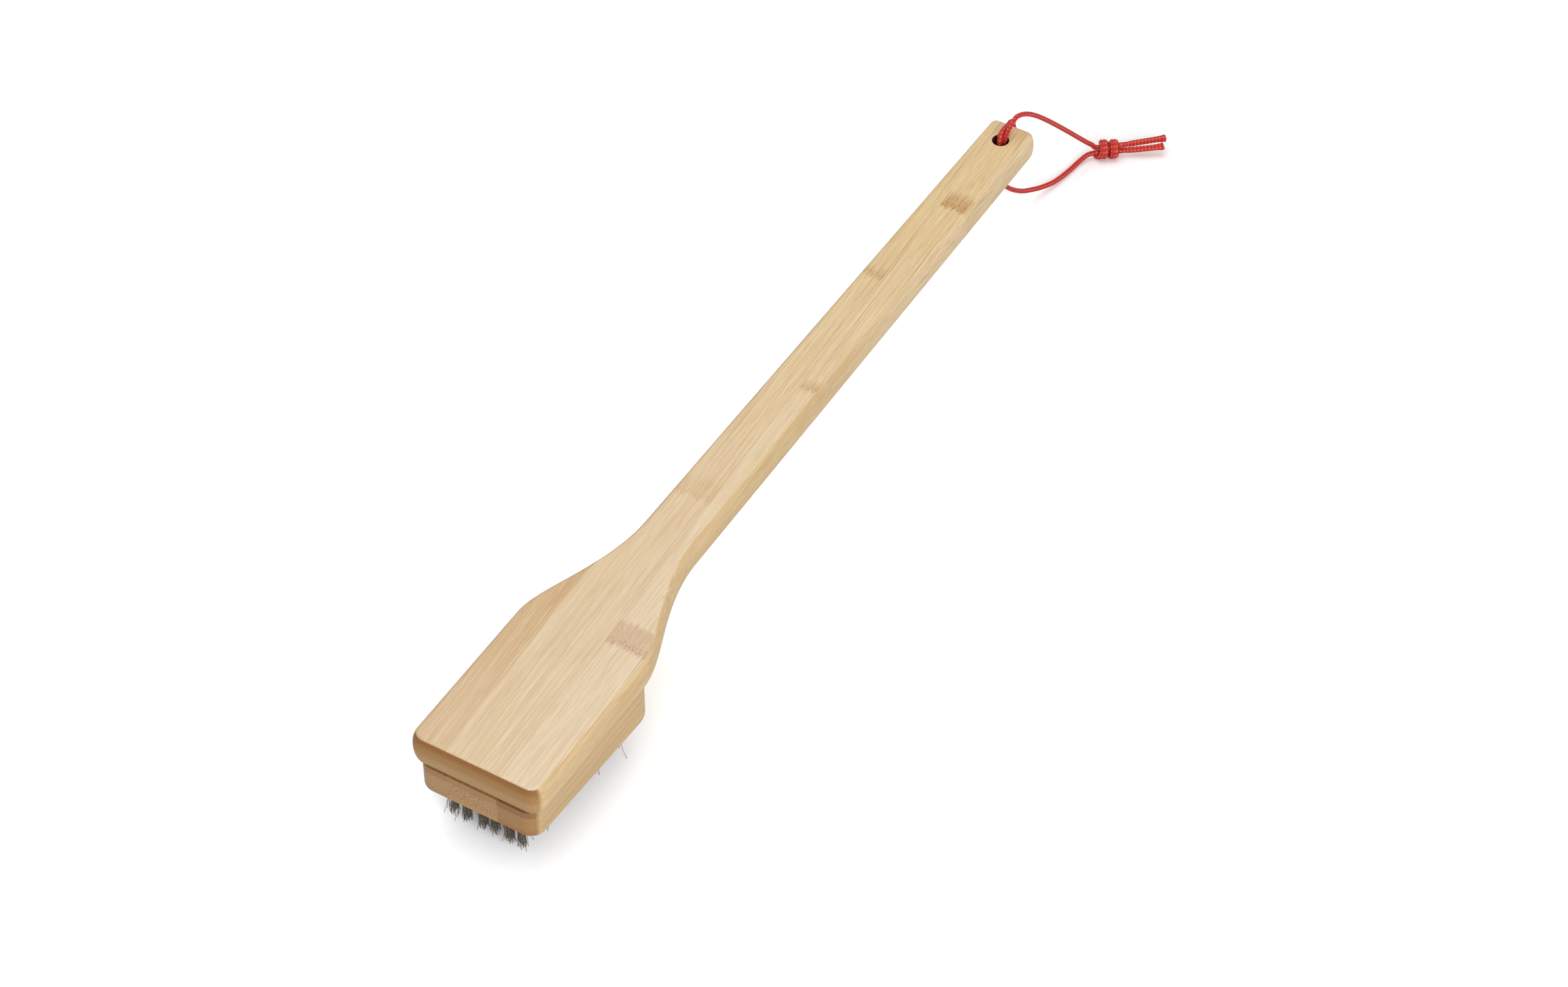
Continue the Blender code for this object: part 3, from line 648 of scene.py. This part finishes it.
def make_block():
    """The nine bamboo pieces of the block, the lowest ones drilled for the tufts."""
    holes = drilled_holes()
    sides = {"right": (None, PLY_JOINTS[0]), "centre": PLY_JOINTS, "left": (PLY_JOINTS[1], None)}
    made = {}
    for layer, layer_name in enumerate(("top", "middle", "lower")):
        for side, joints in sides.items():
            name = layer_name + "_ply_" + side
            made["block_" + name] = block_piece(name, layer, joints, holes)
            stand_in(made["block_" + name], "bamboo_block", "block_" + name)
    bpy.data.objects.remove(holes)
    return made


block = make_block()


# Wire tufts

WIRES_IN_TUFT = 64
WIRE_RADIUS = 0.000115
WIRE_DEPTH_IN_BLOCK = 0.0025
TUFT_RADIUS = 0.00158
SEED_ANGLE = 2.39996
ASTRAY_SHARE = 0.05

# Wires that stray, by row: the tuft that one belongs to and how far its tip is off, in millimetres

STRAY_WIRES = {
    0: [(5, 0.2, 4.6), (5, -3.6, 2.2), (4, -4.2, 2.2), (3, -4.8, 0.8), (1, -5.2, 1.6), (0, -3.0, -5.5)],
    2: [(0, -0.6, -2.4), (0, 0.2, -2.9), (0, -1.2, -2.0), (0, 0.8, -2.5)],
    4: [(0, -0.8, -2.6), (0, 0.1, -3.1), (0, -1.5, -2.3), (0, 0.6, -2.2)],
    8: [(0, -3.3, -3.2), (0, -2.6, -3.6), (0, -2.9, -2.8)],
    10: [(0, -3.2, -8.1)],
}


def wire_row(row):
    """All wires of one row of tufts as one mesh of thin four-sided rods.

    Roots fill a disc in the order of a sunflower's seeds. A wire leans out from its tuft's middle,
    bows and carries a faint crimp. Each tuft leans as a whole, and stray wires lean on their own.
    """
    chance = np.random.default_rng(40 + row)
    places = tuft_places(row)
    count = len(places) * WIRES_IN_TUFT
    seed = np.tile(np.arange(WIRES_IN_TUFT), len(places))
    angle = seed * SEED_ANGLE + np.repeat(chance.uniform(0, 6.28, len(places)), WIRES_IN_TUFT)
    disc = TUFT_RADIUS * np.sqrt((seed[:, None] + 0.5) / WIRES_IN_TUFT)
    out = disc * np.stack([np.cos(angle), np.sin(angle)], axis=-1)
    root = out + np.repeat(places[:, :2], WIRES_IN_TUFT, axis=0)
    root[:, 0] += chance.normal(0, 0.00005, count)
    wander = chance.normal(0, 0.00040, (count, 2))
    wander += np.repeat(chance.normal(0, 0.00042, (len(places), 2)), WIRES_IN_TUFT, axis=0)
    astray = chance.random(count) < ASTRAY_SHARE
    wander[astray] += chance.normal(0, 0.0022, (astray.sum(), 2))
    for number, (tuft, out_x, out_y) in enumerate(STRAY_WIRES.get(row, ())):
        wander[tuft * WIRES_IN_TUFT + 60 - 7 * number] = (MM * out_x, MM * out_y)
    length = BRISTLE_LENGTH * chance.uniform(0.84, 1.0, count)
    length[astray] *= chance.uniform(0.80, 1.0, astray.sum())
    share = np.linspace(0, 1, 7)[:, None]
    bow = chance.normal(0, 0.00022, (count, 1, 2))
    crimp = 0.00006 * np.sin(share * 19 + chance.uniform(0, 6.28, (count, 1, 1)))
    level = root[:, None] + (0.34 * out + wander)[:, None] * share**1.3
    level = level + bow * np.sin(math.pi * share) + crimp
    z = places[0, 2] + WIRE_DEPTH_IN_BLOCK - (length[:, None, None] + WIRE_DEPTH_IN_BLOCK) * share
    z = np.maximum(z, chance.uniform(0.0, 0.0010, (count, 1, 1)) * share)
    quarter = math.pi / 2 * np.arange(4) + math.pi / 4
    ring = np.stack([np.cos(quarter), np.sin(quarter), np.zeros(4)], axis=-1) * WIRE_RADIUS
    points, sides, ends = rods(np.concatenate([level, z], axis=-1), ring)
    return piece_from("wire_row_%02d" % (row + 1), points, np.concatenate([sides, ends]))


def make_tufts():
    """Eleven rows of wire tufts."""
    rows = [wire_row(row) for row in range(ROW_COUNT)]
    for row, piece in enumerate(rows):
        stand_in(piece, "steel_wire", "tuft_row_%02d" % (row + 1))
    return rows


tufts = make_tufts()


# Materials

class Finish:
    """The nodes of a material or of the world: its shader, and short ways to add nodes to it."""

    def __init__(self, owner, shader="Principled BSDF"):
        owner.use_nodes = True
        self.owner = owner
        self.tree = owner.node_tree
        self.shader = self.tree.nodes[shader]

    def add(self, kind, inputs=None, **settings):
        """A node with its settings, and its inputs each linked or set."""
        node = self.tree.nodes.new("ShaderNode" + kind)
        for key, value in settings.items():
            setattr(node, key, value)
        for key, value in (inputs or {}).items():
            self.feed(node.inputs[key], value)
        return node

    def feed(self, socket, value):
        """Link a socket, or set it."""
        if isinstance(value, bpy.types.NodeSocket):
            self.tree.links.new(value, socket)
        else:
            socket.default_value = value

    def place(self, turn=0.0):
        """Places on the object, in millimetres and turned with the grain."""
        return self.add("Mapping", {
            "Vector": self.add("TexCoord").outputs["Object"], "Rotation": (0, 0, -turn),
            "Scale": (1000, 1000, 1000)}).outputs[0]

    def math(self, operation, *values):
        """One step of arithmetic."""
        return self.add("Math", dict(enumerate(values)), operation=operation).outputs[0]

    def times(self, *values):
        """The product of all the values."""
        result = values[0]
        for value in values[1:]:
            result = self.math("MULTIPLY", result, value)
        return result

    def rest(self, value):
        """What is left of 1."""
        return self.math("SUBTRACT", 1.0, value)

    def step(self, value, low, high, start=0.0, stop=1.0):
        """A smooth rise from start to stop, while the value goes from low to high."""
        return self.add("MapRange", {
            "Value": value, "From Min": low, "From Max": high, "To Min": start, "To Max": stop,
        }, interpolation_type="SMOOTHSTEP").outputs[0]

    def near(self, value, centre, wide, soft):
        """1 within a distance of a centre, and a smooth fall to 0 beyond it."""
        off = self.math("ABSOLUTE", self.math("SUBTRACT", value, centre))
        return self.step(off, wide + soft, wide)

    def blend(self, factor, under, over):
        """One colour laid over another."""
        under, over = [(*c, 1) if isinstance(c, tuple) else c for c in (under, over)]
        return self.add("Mix", {0: factor, 6: under, 7: over}, data_type="RGBA").outputs[2]

    def stretched(self, place, along, across):
        """Places on the wood, with its cells drawn out along the grain."""
        scale = (1 / along, 1 / across, 1 / across)
        return self.add("Mapping", {"Vector": place, "Scale": scale}).outputs[0]

    def noise(self, place, along, across, detail=2.0, roughness=0.5):
        """Soft noise in cells of a length along the grain and a width across it."""
        return self.add("TexNoise", {
            "Vector": self.stretched(place, along, across), "Scale": 1.0, "Detail": detail,
            "Roughness": roughness}).outputs[0]

    def cores(self, place, scale=1.0, randomness=1.0, dimensions="3D"):
        """Distance from the nearest of many scattered cores."""
        inputs = {"Vector": place, "Scale": scale, "Randomness": randomness}
        return self.add("TexVoronoi", inputs, voronoi_dimensions=dimensions).outputs["Distance"]

    def uneven(self, height, strength, depth):
        """Relief from a height, on the shader."""
        bump = self.add("Bump", {"Height": height, "Strength": strength, "Distance": depth})
        self.feed(self.shader.inputs["Normal"], bump.outputs[0])

    def coated(self, colour, roughness, shine=0.5, metal=0.0):
        """The material, once its colour, roughness, shine and share of metal are set."""
        names = ("Base Color", "Roughness", "Specular IOR Level", "Metallic")
        for name, value in zip(names, (colour, roughness, shine, metal)):
            self.feed(self.shader.inputs[name], value)
        return self.owner


def paint(piece, material):
    """Give a piece its one material."""
    piece.data.materials.append(material)


def rgb(*shown):
    """A colour as a material needs it, from its 0 to 255 values on a screen."""
    share = np.array(shown) / 255
    return tuple(np.where(share < 0.04045, share / 12.92, ((share + 0.055) / 1.055) ** 2.4).tolist())


class Bamboo(Finish):
    """Bamboo whose fibres show as lines on its long faces and as dots at its ends.

    Each method lays one kind of detail over a colour and gives the new one back. Over the stretch
    of a ledge a level face shows as an end, in the darker end tone as painted shade of the recess under
    the board, from all to nothing.
    """

    def __init__(self, name, shift, turn, tones, shaded_ledge=None):
        super().__init__(bpy.data.materials.new(name))
        self.tones = tones
        self.spot = self.add("TexCoord").outputs
        place = self.place(turn)
        self.moved = self.add("Mapping", {"Vector": place, "Location": shift}).outputs[0]
        self.along, self.across, self.height = self.add("SeparateXYZ", {0: place}).outputs
        ahead, aside, up = self.add("SeparateXYZ", {0: self.spot["Normal"]}).outputs
        lying = self.math("SQRT", self.math("MAXIMUM", self.rest(self.times(up, up)), 0.0001))
        endways = self.math("DIVIDE", self.math("ABSOLUTE", ahead), lying)
        rolled = self.times(self.step(up, 0.76, 0.62), self.step(lying, 0.04, 0.12))
        self.upward = self.step(up, 0.55, 0.90, 0.30, 1.0)
        self.to_end = self.times(self.step(endways, 0.34, 0.66), rolled)
        if shaded_ledge:
            self.to_end = self.math("MAXIMUM", self.to_end, self.step(self.along, shaded_ledge[1], shaded_ledge[0]))
        self.to_side = self.step(self.math("ABSOLUTE", aside), 0.30, 0.80)
        self.flat = self.rest(self.to_end)
        self.far = self.step(self.along, *tones["change"])
        self.fibre = self.noise(self.moved, 26, 0.42, 3.0, 0.6)

    def grain(self):
        """The wood's tone in broad and narrow bands, with pinkish streaks near the head and pale hairs."""
        tones = self.tones
        broad = self.noise(self.moved, 300, 7, 1.0)
        band = self.noise(self.moved, 140, 1.8)
        fine = self.noise(self.moved, 110, 0.8)
        drift = self.math("ADD", self.times(broad, 0.25), self.times(band, 0.35))
        drift = self.math("ADD", drift, self.times(fine, 0.40))
        pale = self.blend(self.far, tones["head"], tones["handle"])
        deep = self.blend(self.far, tones["head_deep"], tones["handle_deep"])
        colour = self.blend(self.step(drift, 0.25, 0.79), pale, deep)
        near_head = self.step(self.far, 1.0, 0.0, 0.25, 1.0)
        streak = self.step(self.noise(self.moved, 70, 0.9), 0.55, 0.70)
        colour = self.blend(self.times(streak, near_head, 0.34), colour, tones["streak"])
        past_head = self.step(self.along, 20.0, 120.0)
        side = self.blend(past_head, tones["side"], tones["side_far"])
        side_deep = self.blend(past_head, tones["side_deep"], tones["side_far_deep"])
        side = self.blend(self.step(drift, 0.36, 0.64), side, side_deep)
        colour = self.blend(self.to_side, colour, side)
        hair = self.step(self.noise(self.moved, 70, 0.32, 1.0), 0.58, 0.70)
        return self.blend(self.times(hair, self.upward, 0.38), colour, tones["hair"])

    def end_tone(self, colour):
        """The darker tone of cut ends, from a low one under a middle one to the rim's, which is end grain
        darkened further by painted shade under the rounded top edge.
        """
        tones = self.tones
        end = self.blend(self.step(self.height, *tones["end_span"]), tones["end"], tones["end_rim_grain_and_shade"])
        end = self.blend(self.step(self.height, *tones["low_span"]), end, tones["end_low"])
        return self.blend(self.to_end, colour, end)

    def fibre_lines(self, colour, line_range):
        """Long dark lines, stronger towards the handle's end, and short thin dashes."""
        strong = self.step(self.along, -120.0, 200.0, *line_range)
        broken = self.step(self.noise(self.moved, 60, 2.2, 1.0), 0.42, 0.56)
        self.line = self.step(self.cores(self.stretched(self.moved, 110, 1.05)), 0.34, 0.14)
        self.line = self.times(self.line, broken, strong)
        dash = self.step(self.cores(self.stretched(self.moved, 12, 0.55)), 0.40, 0.16)
        dash_tone = self.blend(self.far, self.tones["streak"], self.tones["line"])
        colour = self.blend(self.times(self.line, self.flat, 0.55), colour, self.tones["line"])
        return self.blend(self.times(dash, self.flat, 0.30), colour, dash_tone)

    def end_dots(self, colour, pale_dots):
        """The fibres' cut ends: small dark dots and, where asked for, coarse pale ones over them."""
        _, across, up = self.add("SeparateXYZ", {0: self.moved}).outputs
        cut = self.add("CombineXYZ", {0: across, 1: up}).outputs[0]
        dark = self.step(self.cores(cut, 1.75, dimensions="2D"), 0.44, 0.10)
        dark = self.times(dark, self.to_end, 0.52 - 0.7 * pale_dots)
        colour = self.blend(dark, colour, self.tones["dot"])
        if not pale_dots:
            return colour
        leaning = self.add("Mapping", {"Vector": cut, "Rotation": (0, 0, 0.5)}).outputs[0]
        slim = self.add("Mapping", {"Vector": leaning, "Scale": (1.42, 0.88, 1)}).outputs[0]
        pale = self.step(self.cores(slim, 1.0, 0.8, "2D"), 0.56, 0.20)
        return self.blend(self.times(pale, self.to_end, pale_dots), colour, self.tones["pale_dot"])

    def fine_fibres(self, colour):
        """Fine dark and pale threads all over."""
        colour = self.blend(self.step(self.fibre, 0.30, 0.62, 0.22, 0.0), colour, self.tones["line"])
        bright = self.step(self.fibre, 0.52, 0.78, 0.0, 0.30)
        return self.blend(self.times(bright, self.flat, self.upward), colour, self.tones["hair"])

    def wood(self, line_range, pale_dots=0.0):
        """Plain bamboo, before its marks and joints."""
        colour = self.end_tone(self.grain())
        colour = self.end_dots(self.fibre_lines(colour, line_range), pale_dots)
        return self.fine_fibres(colour)

    def stalk_nodes(self, colour, marks):
        """The stalk's nodes: a brown belt across the grain whose streaks run on towards the handle's end.

        A mark is the belt's place along and across, its half width, the streaks' run, the share of it
        over which they hold, a strength and a tone. One that holds long is smooth, else it is combed.
        """
        if not marks:
            return colour
        wobble = self.times(self.math("SUBTRACT", self.noise(self.moved, 1000, 1.6), 0.5), 7.0)
        wavy = self.math("ADD", self.along, wobble)
        comb = self.step(self.noise(self.moved, 12, 0.45), 0.36, 0.60)
        speckle = self.step(self.noise(self.moved, 0.9, 0.7), 0.42, 0.60)
        pore = self.step(self.cores(self.stretched(self.moved, 1.7, 1.7)), 0.24, 0.10)
        for centre, beside, half_width, run_on, hold, strength, tone in marks:
            past = self.math("SUBTRACT", wavy, centre)
            wide = self.near(self.across, beside, half_width * 0.75, half_width * 0.5)
            wide = self.times(wide, self.rest(self.times(self.to_side, 0.8)))
            run = self.times(self.step(past, -1.6, 0.8), self.step(past, run_on, run_on * hold))
            combed = self.math("ADD", self.times(comb, 0.9 - 0.8 * hold), 0.1 + 0.8 * hold)
            spotty = self.math("ADD", self.times(speckle, 0.35), 0.65)
            colour = self.blend(self.times(run, wide, combed, spotty, strength), colour, tone)
            belt = self.times(self.near(past, 0.6, 1.2, 1.6), wide)
            colour = self.blend(self.times(belt, speckle, strength * 0.6), colour, tone)
            colour = self.blend(self.times(belt, pore, strength * 0.8), colour, self.tones["pore"])
        return colour

    def glue_and_seam_shade_lines(self, colour, place, joints, strength):
        """Thin dark lines where a joint shows, at places in millimetres: glue, and between the block's
        plies painted shade of the seam as well.
        """
        for joint in joints:
            glue = self.near(place, joint, 0.05, 0.14)
            colour = self.blend(self.times(glue, strength), colour, self.tones["line"])
        return colour

    def hole_wall_and_shade(self, colour):
        """The wall of the hanging hole, very dark: darker drilled wood with painted shade inside the hole.
        """
        level = self.add("VectorMath", {0: self.spot["Object"], 1: (1, 1, 0)}, operation="MULTIPLY")
        off = self.add("VectorMath", {0: level.outputs[0], 1: (HOLE_X, 0, 0)}, operation="DISTANCE")
        inside = self.step(off.outputs["Value"], HOLE_RADIUS + 0.00028, HOLE_RADIUS + 0.00012)
        # The dark brown is partly painted shade inside the hole.
        return self.blend(inside, colour, (0.085, 0.026, 0.012))

    def finished(self, colour):
        """The material with its last colour, a dull shine and a faint relief of fibres."""
        self.uneven(self.math("SUBTRACT", self.fibre, self.times(self.line, 0.5)), 0.20, 0.00010)
        return self.coated(colour, self.step(self.fibre, 0.3, 0.7, 0.58, 0.44), 0.35)


BOARD_TONES = {
    "change": (-150.0, 200.0),
    "head": rgb(225, 203, 169), "head_deep": rgb(215, 187, 149),
    "handle": rgb(227, 200, 152), "handle_deep": rgb(217, 187, 136),
    "streak": rgb(204, 164, 130), "hair": rgb(240, 224, 194),
    "side": rgb(216, 189, 145), "side_deep": rgb(200, 169, 120),
    "side_far": rgb(229, 206, 166), "side_far_deep": rgb(216, 189, 147),
    # The ends' rim tone is end grain with painted shade under the rounded top edge.
    "end": rgb(168, 125, 75), "end_rim_grain_and_shade": rgb(143, 96, 47), "end_span": (49.5, 53.0),
    "end_low": rgb(182, 146, 99), "low_span": (49.0, 44.5),
    "line": rgb(158, 117, 70), "dot": rgb(112, 72, 34), "pale_dot": rgb(208, 174, 128),
    "pore": rgb(104, 66, 40),
}
LEFT_TONES = {
    **BOARD_TONES, "change": (-200.0, -125.0), "head": rgb(217, 190, 154), "head_deep": rgb(207, 176, 136),
    "handle": rgb(211, 179, 136), "handle_deep": rgb(199, 165, 120)}
RIGHT_TONES = {**BOARD_TONES, "head": rgb(227, 208, 177), "head_deep": rgb(219, 194, 158)}
# The plies' level faces show only in the recess under the board, so their darker head and handle tones are
# painted shade.
PLY_TONES = {
    **BOARD_TONES, "head": rgb(176, 138, 96), "head_deep": rgb(164, 126, 86),
    "handle": rgb(176, 138, 96), "handle_deep": rgb(164, 126, 86), "streak": rgb(186, 146, 102),
    "hair": rgb(214, 187, 144),
    "side": rgb(208, 180, 136), "side_deep": rgb(190, 158, 111),
}
END_TONES = {
    # The top ply's ends sit in the recess under the board, and their darker tones are partly painted
    # shade.
    "top": {"left": rgb(166, 125, 86), "centre": rgb(171, 131, 86), "right": rgb(147, 106, 63)},
    "middle": {"left": rgb(180, 144, 102), "centre": rgb(158, 120, 77), "right": rgb(168, 129, 82)},
    "lower": {"left": rgb(174, 140, 102), "centre": rgb(188, 149, 98), "right": rgb(166, 118, 70)},
}


GRAIN_TURN = math.atan(JOINT_SLOPE)


def joint_seam(offset):
    """Where a joint lies across the grain of the board, in millimetres."""
    return (offset - JOINT_SLOPE * HEAD_FRONT_X) * math.cos(GRAIN_TURN) / MM


def paint_board():
    """Each strip has its own tones, its own part of the pattern and its own nodes of the stalk."""
    pinkish, golden = rgb(184, 144, 114), rgb(175, 125, 62)
    left_joint, right_joint = joint_seam(LEFT_JOINT), joint_seam(RIGHT_JOINT)
    looks = {
        "board_strip_left": (LEFT_TONES, [left_joint], []),
        "board_strip_middle": (BOARD_TONES, [left_joint, right_joint], [
            (-54.0, 4.7, 10.0, 15.0, 0.5, 0.24, golden), (105.5, 2.2, 6.5, 9.0, 0.2, 0.55, golden)]),
        "board_strip_right": (RIGHT_TONES, [right_joint], [
            (-144.5, -14.0, 13.0, 14.0, 0.8, 0.64, pinkish), (26.0, -8.6, 6.0, 8.0, 0.3, 0.50, golden),
            (162.5, -10.6, 10.0, 13.0, 0.4, 0.95, golden)]),
    }
    for number, (node, strip) in enumerate(board.items()):
        tones, joints, marks = looks[node]
        shift = (411 * number, 37 * number, 19 * number)
        made = Bamboo("bamboo_" + strip.name, shift, GRAIN_TURN, tones)
        colour = made.stalk_nodes(made.wood((0.25, 1.0)), marks)
        colour = made.glue_and_seam_shade_lines(colour, made.across, joints, 0.14)
        if node == "board_strip_right":
            colour = made.hole_wall_and_shade(colour)
        paint(strip, made.finished(colour))


def paint_block():
    """Each ply piece has its own tone at the front, and the middle ply's centre shows coarse pale dots."""
    joints = [(BOARD_UNDER_Z - depth) / MM for depth in PLY_LEVELS[1:]]
    # Along the block's front the plies take the end tone, as painted shade of the ledge under the board's
    # edge.
    shaded_ledge = (BLOCK_FRONT_X / MM + 2.4, BLOCK_FRONT_X / MM + 3.2)
    for number, (node, ply) in enumerate(block.items()):
        layer, side = node.split("_")[1], node.split("_")[3]
        tones = {**PLY_TONES, **dict.fromkeys(("end", "end_rim_grain_and_shade", "end_low"), END_TONES[layer][side])}
        made = Bamboo("bamboo_" + ply.name, (173 * number, 53 * number, 0), 0, tones, shaded_ledge)
        pale_dots = 0.62 if node == "block_middle_ply_centre" else 0.0
        # The lines between plies are glue with painted shade of the seams.
        colour = made.glue_and_seam_shade_lines(made.wood((0.5, 0.5), pale_dots), made.height, joints, 0.30)
        paint(ply, made.finished(colour))


def wire_finish():
    """Drawn steel wire, dulled here and there along its length."""
    made = Finish(bpy.data.materials.new("steel_wire"))
    dull = made.noise(made.place(), 0.45, 0.9)
    tone = made.blend(made.step(dull, 0.34, 0.64), (0.42, 0.375, 0.31), (0.15, 0.125, 0.10))
    return made.coated(tone, made.step(dull, 0.3, 0.7, 0.28, 0.52), metal=0.85)


def braid_finish():
    """Braided red cord: rows of painted glints where strands cross, deep red painted shade in the crevices
    between them, fine threads.
    """
    made = Finish(bpy.data.materials.new("red_braid"))
    base, painted_glint, deep = (0.57, 0.034, 0.024), (0.90, 0.33, 0.24), (0.30, 0.013, 0.010)
    surface = made.add("UVMap", uv_map="along").outputs[0]
    round_turn, beat = made.add("SeparateXYZ", {0: surface}).outputs[:2]
    rows = made.math("COSINE", made.times(round_turn, 2 * math.pi * BRAID_STRANDS))
    beats = made.math("COSINE", made.times(beat, 2 * math.pi))
    over = made.math("SUBTRACT", beats, rows)
    dash = made.times(made.step(beats, 0.15, 0.75), made.step(rows, -0.66, -0.94))
    lean = made.math("ADD", made.times(round_turn, 6.0 * BRAID_STRANDS), made.times(beat, 5.0))
    thread = made.math("SINE", made.times(lean, 2 * math.pi))
    cloud = made.noise(made.place(), 0.5, 0.5)
    # Deep red where the strands dip is painted shade in the crevices of the braid.
    colour = made.blend(made.step(over, -0.4, -1.9, 0.0, 0.75), base, deep)
    colour = made.blend(made.step(thread, 0.0, 1.0, 0.0, 0.22), colour, deep)
    # The pale flecks are painted glints of the shiny strands.
    colour = made.blend(made.times(dash, made.step(cloud, 0.30, 0.52)), colour, painted_glint)
    made.uneven(made.math("ADD", made.times(thread, 0.3), cloud), 0.35, 0.00008)
    return made.coated(colour, 0.5, 0.25)


def fray_finish():
    """Loose red fibres, paler towards some of their tips."""
    made = Finish(bpy.data.materials.new("cord_fibre"))
    cloud = made.step(made.noise(made.place(), 0.25, 0.25), 0.35, 0.65)
    return made.coated(made.blend(cloud, (0.62, 0.075, 0.055), (0.86, 0.25, 0.20)), 0.6)


def paint_rest():
    """Wire for the tufts, braid for the cord, and loose fibres for its cut ends, the last cord piece."""
    wire = wire_finish()
    for row in tufts:
        paint(row, wire)
    braid = braid_finish()
    for piece in cord_pieces[:-1]:
        paint(piece, braid)
    paint(cord_pieces[-1], fray_finish())


paint_board()
paint_block()
paint_rest()


# Floor and light

FLOOR_HALF = 3.0
FLOOR_Z = -0.0002
SKY_STRENGTH = 0.60


def make_floor():
    """A plain pale floor that shows the object's soft shadow, and else white, to the camera.

    A second pale layer, thinner round the knot, lifts what the camera sees of it.
    """
    corners = [(-1, -1), (1, -1), (1, 1), (-1, 1)]
    points = np.array([(FLOOR_HALF * x, FLOOR_HALF * y, FLOOR_Z) for x, y in corners])
    floor = piece_from("floor", points, np.array([[0, 1, 2, 3]]))
    made = Finish(bpy.data.materials.new("floor"))
    seen = made.add("LightPath").outputs["Is Camera Ray"]
    place = made.add("TexCoord").outputs["Object"]
    off = made.add("VectorMath", {0: place, 1: tuple(KNOT_CENTRE)}, operation="DISTANCE").outputs["Value"]
    lift = made.blend(made.step(off, 0.03, 0.065), (0.11, 0.11, 0.11), (0.33, 0.36, 0.39))
    pale = made.add("BsdfDiffuse", {"Color": (1, 1, 1, 1)}).outputs[0]
    paler = made.add("BsdfDiffuse", {"Color": lift}).outputs[0]
    for_camera = made.add("AddShader", {0: pale, 1: paler}).outputs[0]
    for_light = made.add("BsdfDiffuse", {"Color": (0.80, 0.80, 0.80, 1)}).outputs[0]
    mix = made.add("MixShader", {0: seen, 1: for_light, 2: for_camera}).outputs[0]
    made.feed(made.tree.nodes["Material Output"].inputs["Surface"], mix)
    made.tree.nodes.remove(made.shader)
    paint(floor, made.owner)


def area_lamp(name, place, wide, high, energy):
    """A soft rectangular lamp that faces the brush."""
    lamp = bpy.data.lights.new(name, "AREA")
    lamp.shape = "RECTANGLE"
    lamp.size = wide
    lamp.size_y = high
    lamp.energy = energy
    holder = put(name, lamp)
    holder.location = place
    holder.rotation_euler = (-Vector(place)).to_track_quat("-Z", "Y").to_euler()


def make_light():
    """A broad lamp overhead, a low one from the camera's right and front, and pale surroundings.

    The surroundings are brighter where the camera or a shiny face sees them.
    """
    area_lamp("overhead_lamp", (0.30, 0.35, 1.55), 1.5, 1.2, 7.5)
    area_lamp("front_lamp", (-0.9, -1.2, 0.9), 1.0, 0.8, 13.5)
    world = bpy.data.worlds.new("surrounding")
    bpy.context.scene.world = world
    sky = Finish(world, "Background")
    ray = sky.add("LightPath").outputs
    seen = sky.math("MAXIMUM", ray["Is Camera Ray"], ray["Is Glossy Ray"])
    strength = sky.math("ADD", sky.times(seen, 1 - SKY_STRENGTH), SKY_STRENGTH)
    sky.feed(sky.shader.inputs["Color"], (1, 1, 1, 1))
    sky.feed(sky.shader.inputs["Strength"], strength)


make_floor()
make_light()

bpy.context.scene.view_settings.view_transform = "Standard"
